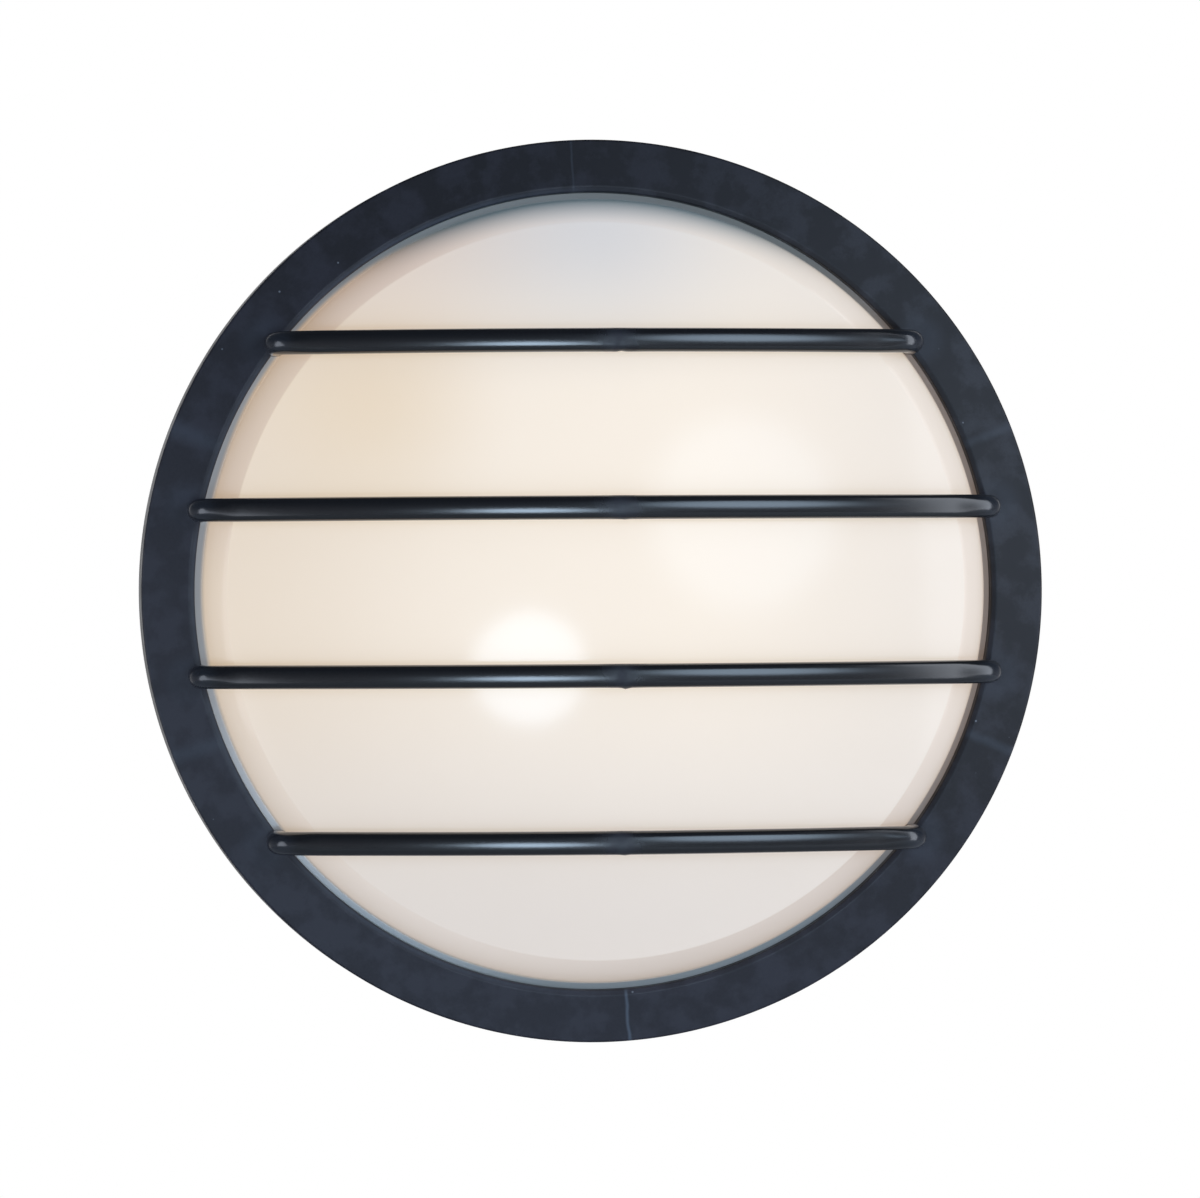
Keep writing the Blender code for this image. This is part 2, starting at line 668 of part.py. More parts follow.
def build_housing():
    """The pan that goes on the wall, with its bayonet ledges, ribs, fixings and cable entry."""
    mesh = turned("back_housing", housing_outline(), ROUND_STEPS)
    housing = place("back_housing", mesh, BLACK)
    ledge_in = housing_radius(LEDGE_REAR) - HOUSING_WALL / 2
    ledge_out = RIM_R + LEDGE_PROUD
    stop_gap = FIT / ledge_in

    bm = bmesh.new()
    for middle in lug_angles():
        start = middle - LUG_SPAN / 2 - stop_gap - STOP_SPAN
        end = middle + LUG_SPAN / 2 + LEDGE_OVERRUN
        add_sector(bm, ledge_in, ledge_out, LEDGE_REAR, LEDGE_FRONT, start, end)
    shape(housing, "UNION", tool("bayonet_ledges", to_mesh(bm, "bayonet_ledges")))

    bm = bmesh.new()
    for middle in lug_angles():
        end = middle - LUG_SPAN / 2 - stop_gap
        rear = LEDGE_REAR - STOP_DEPTH
        add_sector(bm, ledge_in, ledge_out, rear, LEDGE_REAR + EMBED, end - STOP_SPAN, end)
    shape(housing, "UNION", tool("bayonet_stops", to_mesh(bm, "bayonet_stops")))

    bm = bmesh.new()
    rib_end = housing_radius(0.0) - REAR_RIM + EMBED
    for number in range(RIB_COUNT):
        angle = 2 * math.pi * (number + 0.5) / RIB_COUNT
        low = (CENTRE_PAD_R - EMBED, RIB_SET_BACK, -RIB_WIDTH / 2)
        add_block(bm, low, (rib_end, BACK_RECESS + EMBED, RIB_WIDTH / 2), angle)
    shape(housing, "UNION", tool("rear_ribs", to_mesh(bm, "rear_ribs")))

    bm = bmesh.new()
    for spot in fixing_spots():
        add_cylinder(bm, WALL_FIXING_BOSS_R, 0.0, BACK_FRONT + WALL_FIXING_BOSS_RISE, spot)
    for spot in pillar_spots():
        add_cylinder(bm, PILLAR_R, BACK_RECESS + EMBED, TRAY_REAR - FIT, spot)
    shape(housing, "UNION", tool("housing_bosses", to_mesh(bm, "housing_bosses")))

    bm = bmesh.new()
    through = BACK_FRONT + WALL_FIXING_BOSS_RISE + EMBED
    for spot in fixing_spots():
        add_cylinder(bm, WALL_FIXING_HOLE_R, -EMBED, through, spot, 12)
    pilot_end = TRAY_FRONT + FIT - SCREW_LENGTH - FIT
    for spot in pillar_spots():
        add_cylinder(bm, SCREW_R + FIT, pilot_end, TRAY_REAR + EMBED, spot, SCREW_STEPS)
    add_cylinder(bm, ENTRY_HOLE_R, 0.0, BACK_FRONT + EMBED, (ENTRY_X, ENTRY_Z))
    shape(housing, "DIFFERENCE", tool("housing_holes", to_mesh(bm, "housing_holes")))


def build_housing_seals():
    """The foam ring against the wall and the grommet in the cable entry."""
    groove_in, groove_out = wall_gasket_radii()
    front = WALL_GASKET_SEAT - FIT
    rear = FIT / 2
    inner = groove_in + FIT
    outer = groove_out - FIT
    outline = [(inner, rear), (outer, rear), (outer, front), (inner, front)]
    place("wall_gasket", turned("wall_gasket", outline, ROUND_STEPS), FOAM)

    rear_face = BACK_RECESS - FIT
    front_face = BACK_FRONT + FIT
    neck = ENTRY_HOLE_R - FIT
    taper = GROMMET_FLANGE_R - (GROMMET_FLANGE_R - GROMMET_BORE_R) / 2
    outline = [
        (GROMMET_BORE_R, rear_face - GROMMET_FLANGE),
        (GROMMET_FLANGE_R, rear_face - GROMMET_FLANGE),
        (GROMMET_FLANGE_R, rear_face),
        (neck, rear_face),
        (neck, front_face),
        (GROMMET_FLANGE_R, front_face),
        (taper, front_face + GROMMET_FLANGE),
        (GROMMET_BORE_R, front_face + GROMMET_FLANGE),
    ]
    mesh = turned("cable_grommet", outline, SMALL_STEPS)
    place("cable_grommet", mesh, RUBBER, (ENTRY_X, 0.0, ENTRY_Z))


def block_ways():
    """Places across of the terminal block's ways: earth, neutral and live."""
    middle = (BLOCK_WAYS - 1) / 2
    return [BLOCK_X + (number - middle) * BLOCK_PITCH for number in range(BLOCK_WAYS)]


def block_screw_spots():
    """Centres (x, z) of the two screws between the terminal block's ways."""
    return [(BLOCK_X + side * BLOCK_PITCH / 2, BLOCK_Z) for side in (-1, 1)]


def bracket_screw_spots():
    """Centres (x, z) of the two screws through the foot of the lampholder bracket."""
    return [(BRACKET_SCREW_X, side * BRACKET_SCREW_Z) for side in (-1, 1)]


def build_tray():
    """The dished white gear tray and its three screws."""
    rim = TRAY_R - TRAY_THICK * 2
    outline = [
        (0.0, TRAY_REAR), (TRAY_FLAT_R, TRAY_REAR), (rim, TRAY_REAR + TRAY_RISE),
        (TRAY_R, TRAY_REAR + TRAY_RISE), (TRAY_R, TRAY_FRONT + TRAY_RISE),
        (rim - TRAY_THICK / 2, TRAY_FRONT + TRAY_RISE), (TRAY_FLAT_R - TRAY_THICK / 2, TRAY_FRONT),
        (0.0, TRAY_FRONT),
    ]
    tray = place("reflector_tray", turned("reflector_tray", outline, ROUND_STEPS), WHITE)
    bm = bmesh.new()
    rear = TRAY_REAR - EMBED
    front = TRAY_FRONT + EMBED
    spots = [*pillar_spots(), *block_screw_spots(), *bracket_screw_spots(), (EARTH_X, EARTH_Z)]
    for spot in spots:
        add_cylinder(bm, SCREW_R + FIT, rear, front, spot, SCREW_STEPS)
    add_cylinder(bm, TRAY_ENTRY_R, rear, front, (ENTRY_X, ENTRY_Z))
    shape(tray, "DIFFERENCE", tool("tray_holes", to_mesh(bm, "tray_holes")))

    outline = screw_outline(SCREW_R, SCREW_HEAD_R, SCREW_HEAD, SCREW_LENGTH)
    screw = turned("pan_head_screw", outline, SCREW_STEPS)
    for number, (x, z) in enumerate(pillar_spots(), 1):
        place(f"tray_screw_{number}", screw, STEEL, at(x, TRAY_FRONT + FIT, z))
    seat = TRAY_FRONT + FIT + BRACKET_THICK + FIT
    for number, (x, z) in enumerate(bracket_screw_spots(), 1):
        place(f"bracket_screw_{number}", screw, STEEL, at(x, seat, z))


def folded_strip(name, path, thick, width):
    """A strip of sheet folded along a path of (x, depth) points, with its thickness on the left."""
    other = []
    for index, (x, depth) in enumerate(path):
        before = path[max(index - 1, 0)]
        after = path[min(index + 1, len(path) - 1)]
        along = Vector((after[0] - before[0], after[1] - before[1])).normalized()
        other.append((x - along.y * thick, depth + along.x * thick))
    bm = bmesh.new()
    corners = [bm.verts.new(at(x, depth, -width / 2)) for x, depth in path + other[::-1]]
    face = bm.faces.new(corners)
    pushed = bmesh.ops.extrude_face_region(bm, geom=[face])["geom"]
    moved = [v for v in pushed if isinstance(v, bmesh.types.BMVert)]
    bmesh.ops.translate(bm, vec=(0, 0, width), verts=moved)
    return to_mesh(bm, name)


def holder_frame(x):
    """Location and turn that lay a turned piece along X, with its depth counted from x towards -X."""
    return at(x, LAMP_DEPTH, 0.0), (0, 0, -math.pi / 2)


def holder_screw_spots():
    """Heights of the two screws through the back of the lampholder."""
    return [-HOLDER_SCREW_Z, HOLDER_SCREW_Z]


def along_x_hole(bm, radius, low, high, depth, z, steps=SCREW_STEPS):
    """A cutting cylinder along X."""
    move = Matrix.Translation(at(0.0, depth, z)) @ Matrix.Rotation(math.pi / 2, 4, "Z")
    add_turned(bm, [(0.0, low), (radius, low), (radius, high), (0.0, high)], steps, move)


def along_z_hole(bm, radius, low, high, x, depth, steps=SCREW_STEPS):
    """A cutting cylinder along Z."""
    move = Matrix.Translation(at(x, depth, 0.0)) @ Matrix.Rotation(-math.pi / 2, 4, "X")
    add_turned(bm, [(0.0, low), (radius, low), (radius, high), (0.0, high)], steps, move)


def lead_holes():
    """Depths of the neutral and the live lead's holes in the lampholder, either side of its axis."""
    return LAMP_DEPTH - LEAD_HOLDER_STEP, LAMP_DEPTH + LEAD_HOLDER_STEP


def build_lampholder():
    """The bracket, the moulded holder, its screw shell, its centre contact and the fixing screws."""
    foot = TRAY_FRONT + FIT
    corner = arc((BRACKET_X - BRACKET_BEND, foot + BRACKET_BEND), BRACKET_BEND, -math.pi / 2, 0.0, 3)
    path = [(BRACKET_X - BRACKET_FOOT, foot), *corner, (BRACKET_X, LAMP_DEPTH + BRACKET_OVER)]
    mesh = folded_strip("lampholder_bracket", path, BRACKET_THICK, BRACKET_WIDTH)
    bracket = place("lampholder_bracket", mesh, ZINC)
    bm = bmesh.new()
    for spot in bracket_screw_spots():
        add_cylinder(bm, SCREW_R + FIT, foot - EMBED, foot + BRACKET_THICK + EMBED, spot, SCREW_STEPS)
    for z in holder_screw_spots():
        low = BRACKET_X - BRACKET_THICK - EMBED
        along_x_hole(bm, SCREW_R + FIT, low, BRACKET_X + EMBED, LAMP_DEPTH, z)
    shape(bracket, "DIFFERENCE", tool("bracket_holes", to_mesh(bm, "bracket_holes")))

    waist = HOLDER_LENGTH * 0.6
    outline = [
        (0.0, 0.0), (HOLDER_R - 0.0015, 0.0), (HOLDER_R, 0.0015), (HOLDER_R, waist),
        (HOLDER_RIM_R, waist + 0.0015), (HOLDER_RIM_R, HOLDER_LENGTH), (HOLDER_BORE_R, HOLDER_LENGTH),
        (HOLDER_BORE_R, HOLDER_FLOOR), (0.0, HOLDER_FLOOR),
    ]
    spot, turn = holder_frame(HOLDER_BASE_X)
    mesh = turned("lampholder_body", outline, 20)
    holder = place("lampholder_body", mesh, PORCELAIN, spot, turn)
    bm = bmesh.new()
    screw_end = BRACKET_X + FIT - SCREW_LENGTH * 1.5 - FIT
    for z in holder_screw_spots():
        along_x_hole(bm, SCREW_R + FIT, screw_end, HOLDER_BASE_X + EMBED, LAMP_DEPTH, z)
    lead_x = HOLDER_BASE_X - HOLDER_FLOOR / 2
    for depth in lead_holes():
        end = -HOLDER_R + LEAD_STRIPPED_END + FIT
        along_z_hole(bm, LEAD_HOLE_R, -HOLDER_RIM_R, end, lead_x, depth)
    shape(holder, "DIFFERENCE", tool("holder_holes", to_mesh(bm, "holder_holes")))

    floor = HOLDER_FLOOR + FIT
    wall = SHELL_BORE_R + SHELL_THICK
    outline = [
        (wall - SHELL_FLANGE, floor), (wall, floor), (wall, floor + SHELL_LENGTH),
        (SHELL_BORE_R, floor + SHELL_LENGTH), (SHELL_BORE_R, floor + SHELL_THICK),
        (wall - SHELL_FLANGE, floor + SHELL_THICK),
    ]
    place("lampholder_shell", turned("lampholder_shell", outline, 20), BRASS, spot, turn)

    low = HOLDER_BASE_X - floor
    top = CONTACT_RISE
    half = CONTACT_SPAN
    arch = [(low, -half), (low, -half * 0.55), (low - top, -half * 0.1), (low - top, half * 0.3)]
    bm = bmesh.new()
    section = arch + [(x - CONTACT_THICK, z) for x, z in reversed(arch)]
    corners = [bm.verts.new(at(x, LAMP_DEPTH - CONTACT_WIDTH / 2, z)) for x, z in section]
    face = bm.faces.new(corners)
    pushed = bmesh.ops.extrude_face_region(bm, geom=[face])["geom"]
    moved = [v for v in pushed if isinstance(v, bmesh.types.BMVert)]
    bmesh.ops.translate(bm, vec=(0, -CONTACT_WIDTH, 0), verts=moved)
    place("lampholder_contact", to_mesh(bm, "lampholder_contact"), BRASS)

    outline = screw_outline(SCREW_R, SCREW_HEAD_R, SCREW_HEAD, SCREW_LENGTH * 1.5)
    screw = turned("lampholder_screw", outline, SCREW_STEPS)
    for number, z in enumerate(holder_screw_spots(), 1):
        spot = at(BRACKET_X + FIT, LAMP_DEPTH, z)
        place(f"lampholder_screw_{number}", screw, STEEL, spot, (0, 0, math.pi / 2))


def lamp_outline():
    """Section of the lamp from its contact button to the top of its globe."""
    button = [(0.0, 0.0), (0.0045, 0.0), (0.0050, 0.0015), (0.0085, 0.0030), (CAP_R, 0.0055)]
    neck_start = CAP_LENGTH + 0.0040
    globe_middle = LAMP_LENGTH - GLOBE_R
    neck = []
    neck_steps = 5
    for step in range(neck_steps):
        share = step / neck_steps
        ease = share * share * (3 - 2 * share)
        depth = neck_start + (globe_middle - neck_start) * share
        neck.append((NECK_R + (GLOBE_R - NECK_R) * ease, depth))
    globe = arc((0.0, globe_middle), GLOBE_R, 0.0, math.pi / 2, 5)
    globe[-1] = (0.0, LAMP_LENGTH)
    return [*button, (CAP_R, CAP_LENGTH), *neck, *globe]


def build_lamp():
    """The screw-cap lamp that lies across the light, as one sealed body."""
    spot, turn = holder_frame(LAMP_TIP_X)
    place("lamp", turned("lamp", lamp_outline(), 20), LAMP_WHITE, spot, turn)


def build_terminal_block():
    """A three-way block with a brass sleeve and a clamping screw in each way."""
    rear = TRAY_FRONT + FIT
    top = rear + BLOCK_HEIGHT
    axis = rear + SLEEVE_RISE
    bm = bmesh.new()
    low = (BLOCK_X - BLOCK_WIDTH / 2, rear, BLOCK_Z - BLOCK_DEEP / 2)
    add_block(bm, low, (BLOCK_X + BLOCK_WIDTH / 2, top, BLOCK_Z + BLOCK_DEEP / 2))
    block = place("terminal_block", to_mesh(bm, "terminal_block"), MOULDED_WHITE)
    bm = bmesh.new()
    for x in block_ways():
        add_cylinder(bm, TURRET_R, top - EMBED, top + TURRET_RISE, (x, BLOCK_Z), 12)
    shape(block, "UNION", tool("block_turrets", to_mesh(bm, "block_turrets")))
    bm = bmesh.new()
    half = BLOCK_DEEP / 2 + EMBED
    for x in block_ways():
        along_z_hole(bm, SLEEVE_R + FIT, BLOCK_Z - half, BLOCK_Z + half, x, axis, 12)
    for x, z in block_screw_spots():
        add_cylinder(bm, SCREW_R + FIT, rear - EMBED, top + EMBED, (x, z), SCREW_STEPS)
    shape(block, "DIFFERENCE", tool("block_bores", to_mesh(bm, "block_bores")))
    bm = bmesh.new()
    for x in block_ways():
        add_cylinder(bm, TERMINAL_SCREW_R * 2, axis, top + TURRET_RISE + EMBED, (x, BLOCK_Z), SCREW_STEPS)
    shape(block, "DIFFERENCE", tool("block_wells", to_mesh(bm, "block_wells")))

    bm = bmesh.new()
    move = Matrix.Rotation(-math.pi / 2, 4, "X")
    half = SLEEVE_LENGTH / 2
    ring = [(SLEEVE_BORE_R, -half), (SLEEVE_R, -half), (SLEEVE_R, half), (SLEEVE_BORE_R, half)]
    add_turned(bm, ring, 12, move)
    blank = place("sleeve_blank", to_mesh(bm, "sleeve_blank"))
    bm = bmesh.new()
    add_cylinder(bm, TERMINAL_SCREW_R + FIT, 0.0, SLEEVE_R * 2, (0.0, 0.0), SCREW_STEPS)
    shape(blank, "DIFFERENCE", tool("sleeve_hole", to_mesh(bm, "sleeve_hole")))
    sleeve = finished_mesh(blank, "terminal_sleeve")
    outline = screw_outline(
        TERMINAL_SCREW_R, TERMINAL_SCREW_R * 1.7, TERMINAL_SCREW_R * 1.6, TERMINAL_SCREW_LENGTH
    )
    screw = turned("terminal_screw", outline, SCREW_STEPS)
    seat = axis + LEAD_R + FIT + TERMINAL_SCREW_LENGTH
    for number, x in enumerate(block_ways(), 1):
        place(f"terminal_sleeve_{number}", sleeve, BRASS, at(x, axis, BLOCK_Z))
        place(f"terminal_screw_{number}", screw, BRASS, at(x, seat, BLOCK_Z))
    outline = screw_outline(SCREW_R, PITCH_HEAD_R, SCREW_HEAD, BLOCK_HEIGHT + SCREW_LENGTH / 2)
    screw = turned("block_screw", outline, SCREW_STEPS)
    for number, (x, z) in enumerate(block_screw_spots(), 1):
        place(f"block_screw_{number}", screw, STEEL, at(x, top + FIT, z))


def build_earth_point():
    """The crimped tag, washer and screw that join the earth lead to the tray."""
    tag_rear = TRAY_FRONT + FIT
    tag_front = tag_rear + EARTH_TAG_THICK
    bm = bmesh.new()
    add_cylinder(bm, EARTH_TAG_R, tag_rear, tag_front, (EARTH_X, EARTH_Z), 16)
    tag = place("earth_tag", to_mesh(bm, "earth_tag"), BRASS)
    barrel_start = EARTH_X + EARTH_TAG_R - EMBED
    barrel_end = barrel_start + EARTH_BARREL_LENGTH
    bm = bmesh.new()
    along_x_hole(
        bm, EARTH_BARREL_R, barrel_start, barrel_end, tag_rear + EARTH_BARREL_R, EARTH_Z, 12
    )
    shape(tag, "UNION", tool("tag_barrel", to_mesh(bm, "tag_barrel")))
    bm = bmesh.new()
    along_x_hole(
        bm, LEAD_R + FIT, barrel_start + EMBED * 2, barrel_end + EMBED, tag_rear + EARTH_BARREL_R,
        EARTH_Z,
    )
    add_cylinder(bm, SCREW_R + FIT, tag_rear - EMBED, tag_front + EMBED, (EARTH_X, EARTH_Z), SCREW_STEPS)
    shape(tag, "DIFFERENCE", tool("tag_holes", to_mesh(bm, "tag_holes")))

    rear = tag_front + FIT
    front = rear + EARTH_TAG_THICK
    inner = SCREW_R + FIT
    outline = [(inner, rear), (EARTH_WASHER_R, rear), (EARTH_WASHER_R, front), (inner, front)]
    mesh = turned("earth_washer", outline, 16)
    place("earth_washer", mesh, STEEL, (EARTH_X, 0.0, EARTH_Z))
    outline = screw_outline(SCREW_R, EARTH_WASHER_R, SCREW_HEAD, SCREW_LENGTH)
    mesh = turned("earth_screw", outline, SCREW_STEPS)
    place("earth_screw", mesh, BRASS, at(EARTH_X, front + FIT, EARTH_Z))


def smooth_route(points, steps):
    """Points on a smooth curve through the given ones, by Catmull and Rom's rule."""
    ends = [points[0] * 2 - points[1], *points, points[-1] * 2 - points[-2]]
    found = []
    for a, b, c, d in zip(ends, ends[1:], ends[2:], ends[3:]):
        for step in range(steps):
            t = step / steps
            bent = b * 2 + (c - a) * t + (a * 2 - b * 5 + c * 4 - d) * t ** 2
            found.append((bent + (b * 3 - a - c * 3 + d) * t ** 3) / 2)
    return [*found, points[-1]]


def lead(name, route, finish):
    """An insulated wire along a smooth route of (x, depth, z) points."""
    points = smooth_route([at(*point) for point in route], 2)
    curve = bpy.data.curves.new(name, "CURVE")
    curve.dimensions = "3D"
    curve.bevel_depth = LEAD_R
    curve.bevel_resolution = 1
    curve.use_fill_caps = True
    spline = curve.splines.new("POLY")
    spline.points.add(len(points) - 1)
    for point, spot in zip(spline.points, points):
        point.co = (*spot, 1.0)
    curve.materials.append(material(name, *finish))
    made = bpy.data.objects.new(name, curve)
    bpy.context.scene.collection.objects.link(made)


def build_leads():
    """Live and neutral run along the tray and up to the holder, earth runs to the tray's earth point."""
    earth_x, neutral_x, live_x = block_ways()
    exit_depth = TRAY_FRONT + FIT + SLEEVE_RISE
    start_z = BLOCK_Z + SLEEVE_BORE_R
    edge_z = BLOCK_Z + BLOCK_DEEP / 2
    on_tray = TRAY_FRONT + FIT + LEAD_R
    neutral_depth, live_depth = lead_holes()
    holder_x = HOLDER_BASE_X - HOLDER_FLOOR / 2
    holder_z = -HOLDER_R + LEAD_STRIPPED_END
    live_row = edge_z + (-HOLDER_R - edge_z) * 0.4
    neutral_row = live_row + 0.0035
    live_climb = holder_z - live_row
    neutral_climb = holder_z - neutral_row
    lead("live_lead", [
        (live_x, exit_depth, start_z), (live_x, exit_depth, edge_z + 0.0030),
        (live_x + 0.0005, exit_depth - 0.0025, edge_z + 0.0075),
        (live_x + 0.0050, on_tray + 0.0003, live_row - 0.0006), (live_x + 0.0130, on_tray, live_row),
        (live_x + 0.0300, on_tray, live_row), (holder_x - 0.0120, on_tray, live_row),
        (holder_x - 0.0030, on_tray + 0.0015, live_row + live_climb * 0.01),
        (holder_x, on_tray + 0.0080, live_row + live_climb * 0.025),
        (holder_x, live_depth - 0.0160, live_row + live_climb * 0.075),
        (holder_x, live_depth - 0.0040, live_row + live_climb * 0.25),
        (holder_x, live_depth, live_row + live_climb * 0.5), (holder_x, live_depth, holder_z),
    ], BROWN)
    lead("neutral_lead", [
        (neutral_x, exit_depth, start_z), (neutral_x, exit_depth, edge_z + 0.0040),
        (neutral_x + 0.0005, exit_depth - 0.0030, edge_z + 0.0105),
        (neutral_x + 0.0050, on_tray + 0.0003, neutral_row - 0.0006),
        (neutral_x + 0.0140, on_tray, neutral_row), (neutral_x + 0.0400, on_tray, neutral_row),
        (holder_x - 0.0140, on_tray, neutral_row),
        (holder_x - 0.0040, on_tray + 0.0012, neutral_row + neutral_climb * 0.05),
        (holder_x, on_tray + 0.0060, neutral_row + neutral_climb * 0.15),
        (holder_x, neutral_depth - 0.0100, neutral_row + neutral_climb * 0.3),
        (holder_x, neutral_depth - 0.0020, neutral_row + neutral_climb * 0.5),
        (holder_x, neutral_depth, neutral_row + neutral_climb * 0.7), (holder_x, neutral_depth, holder_z),
    ], BLUE)
    barrel_x = EARTH_X + EARTH_TAG_R
    barrel_depth = TRAY_FRONT + FIT + EARTH_BARREL_R
    lead("earth_lead", [
        (earth_x, exit_depth, start_z), (earth_x, exit_depth, edge_z + 0.0030),
        (earth_x - 0.0015, exit_depth - 0.0020, edge_z + 0.0080),
        (earth_x - 0.0070, barrel_depth + 0.0004, EARTH_Z - 0.0004),
        (barrel_x + EARTH_BARREL_LENGTH + 0.0020, barrel_depth, EARTH_Z),
        (barrel_x + EARTH_BARREL_LENGTH / 3, barrel_depth, EARTH_Z),
    ], GREEN)


# Finishes: base colour, roughness and metallic value
BLACK = ((0.021, 0.024, 0.030), 0.42)
OPAL = ((0.90, 0.84, 0.76), 0.22)
RUBBER = ((0.020, 0.020, 0.020), 0.80)
FOAM = ((0.060, 0.060, 0.062), 0.95)
STEEL = ((0.62, 0.62, 0.60), 0.35, 1.0)
ZINC = ((0.60, 0.61, 0.58), 0.40, 1.0)
WHITE = ((0.86, 0.86, 0.84), 0.35)
PORCELAIN = ((0.83, 0.82, 0.78), 0.20)
BRASS = ((0.72, 0.55, 0.25), 0.32, 1.0)
LAMP_WHITE = ((0.92, 0.91, 0.88), 0.30)
MOULDED_WHITE = ((0.80, 0.80, 0.77), 0.45)
BROWN = ((0.16, 0.06, 0.025), 0.50)
BLUE = ((0.03, 0.14, 0.45), 0.50)
GREEN = ((0.09, 0.32, 0.05), 0.50)


def main():
    for leftover in list(bpy.data.objects):
        bpy.data.objects.remove(leftover)
    build_guard()
    build_lens()
    build_clips()
    build_housing()
    build_housing_seals()
    build_tray()
    build_lampholder()
    build_lamp()
    build_terminal_block()
    build_earth_point()
    build_leads()


main()
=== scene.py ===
"""Looks of the outdoor wall light.

The wall is the plane Y = 0, the light faces -Y, +Z is up. Profiles are (radius, depth) pairs, where
depth is the distance in front of the wall. The guard with its bars, the opal lens, the housing and
its seals are drawn finely here and stand for their solids; every other solid gets its finish.
"""
import json
import math

import bmesh
import bpy
import numpy as np
from mathutils import Matrix, Vector

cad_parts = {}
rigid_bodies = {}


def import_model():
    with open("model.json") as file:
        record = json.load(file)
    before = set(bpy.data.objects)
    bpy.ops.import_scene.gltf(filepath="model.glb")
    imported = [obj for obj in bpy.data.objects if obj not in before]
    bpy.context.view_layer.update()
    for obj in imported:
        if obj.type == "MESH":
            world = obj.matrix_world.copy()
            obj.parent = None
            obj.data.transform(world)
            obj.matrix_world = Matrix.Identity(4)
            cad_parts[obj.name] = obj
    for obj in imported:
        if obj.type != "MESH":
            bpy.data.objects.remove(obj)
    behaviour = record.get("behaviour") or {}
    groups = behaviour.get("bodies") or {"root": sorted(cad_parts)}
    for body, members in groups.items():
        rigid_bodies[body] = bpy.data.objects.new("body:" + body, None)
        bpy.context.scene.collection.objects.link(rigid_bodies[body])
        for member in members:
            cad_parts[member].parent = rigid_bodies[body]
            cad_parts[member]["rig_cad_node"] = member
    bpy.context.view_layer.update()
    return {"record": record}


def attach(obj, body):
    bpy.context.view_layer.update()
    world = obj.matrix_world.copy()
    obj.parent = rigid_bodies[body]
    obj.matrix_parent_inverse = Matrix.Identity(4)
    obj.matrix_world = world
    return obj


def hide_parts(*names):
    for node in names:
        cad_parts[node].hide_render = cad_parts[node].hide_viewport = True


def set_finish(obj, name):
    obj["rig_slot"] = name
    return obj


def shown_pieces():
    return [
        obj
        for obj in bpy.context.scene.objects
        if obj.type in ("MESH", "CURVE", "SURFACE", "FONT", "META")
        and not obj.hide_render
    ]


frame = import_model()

# Meshes: steps round the guard and the housing, merging distance, bend past which an edge is sharp,
# and how far a rib or a stop reaches into what carries it
GUARD_STEPS = 384
HOUSING_STEPS = 256
MERGE_DISTANCE = 2e-6
SHARP_ANGLE = 30.0
SINK = 0.0006

# Guard ring and skirt
GUARD_R = 0.1300
OPENING_R = 0.1148
FACE_DEPTH = 0.0620
FACE_RISE = 0.0030
GUARD_WALL = 0.0030
SKIRT_REAR = 0.0400
SKIRT_DRAFT = math.radians(3.0)
LIP_WIDTH = 0.0026
LIP_UNDER = 0.0590
CHAMFER = 0.0016
CHAMFER_SLOPE = math.radians(20.0)

# Guard bars
BAR_HEIGHTS = (0.0711, 0.0237, -0.0237, -0.0711)
BAR_R = 0.0034
BAR_SPHERE_R = 0.3000
BAR_RISE = 0.0130
BAR_FOOT_R = 0.1157
BAR_BEND_R = 0.0050
BAR_ROOT = 0.0015
BAR_FILLET = 0.0004
BAR_CROWN_R = 0.0088
BAR_CORNER_R = 0.0020
BAR_HALF_DEEP = 0.0029
ROUND_BENDS = 0.3
CROWNING_BENDS = 2.2
GATE_X = 0.0062
GATE_WIDTH = 0.0009
GATE_RISES = (-0.00035, 0.00012, 0.00045, 0.00020)

# Lens
LENS_SPHERE_R = 0.3000
CREASE_R = 0.1054
CREASE_DEPTH = 0.0740
LENS_WALL_R = 0.1129
LENS_WALL = 0.0028
FLANGE_R = 0.1210
FLANGE_REAR = 0.0562
FLANGE_FRONT = 0.0587

# Bayonet lugs, ledges and stops, and the bosses of the lens clips
LUG_ANGLES = np.radians([45.0, 135.0, 225.0, 315.0])
LUG_SPAN = math.radians(12.0)
LUG_DEPTHS = (0.0409, 0.0439)
LUG_CLEARANCE = 0.0014
LEDGE_DEPTHS = (0.0442, 0.0472)
LEDGE_R = 0.1234
LEDGE_ROOT = 0.0015
LEDGE_OVERLAP = math.radians(1.5)
STOP_REAR = 0.0408
STOP_SPAN = math.radians(2.4)
STOP_GAP = 0.0003
CLIP_ANGLES = np.radians([0.0, 90.0, 180.0, 270.0])
CLIP_BOSS_CENTRE = 0.1240
CLIP_BOSS_R = 0.0027

# Housing
RIM_R = 0.1182
HOUSING_DEPTH = 0.0540
HOUSING_DRAFT = math.radians(1.8)
HOUSING_WALL = 0.0030
BACK_RECESS = 0.0050
BACK_FRONT = 0.0080
BEARING_WIDTH = 0.0085
CENTRE_PAD_R = 0.0150
RIB_ANGLES = np.radians(np.arange(8) * 45.0 + 22.5)
RIB_DEPTHS = (0.0008, 0.0056)
RIB_HALF_WIDTH = 0.0010
RIB_STOP = 0.0080
FIXING_R = 0.1000
FIXING_BOSS_R = 0.0062
FIXING_BOSS_FRONT = 0.0110
SCREW_HOLE_R = 0.0026
ENTRY = (0.0400, -0.0500)
ENTRY_HOLE_R = 0.0070
CUT_OVER = 0.0010

# Housing rim: groove of the lens gasket, and the step behind it
SEAL_GROOVE_R = (0.1134, 0.1168)
SEAL_GROOVE_FLOOR = 0.0510
RIM_INNER_R = 0.1120
RIM_UNDER = 0.0500
RIM_STEP = (0.1150, 0.0470)

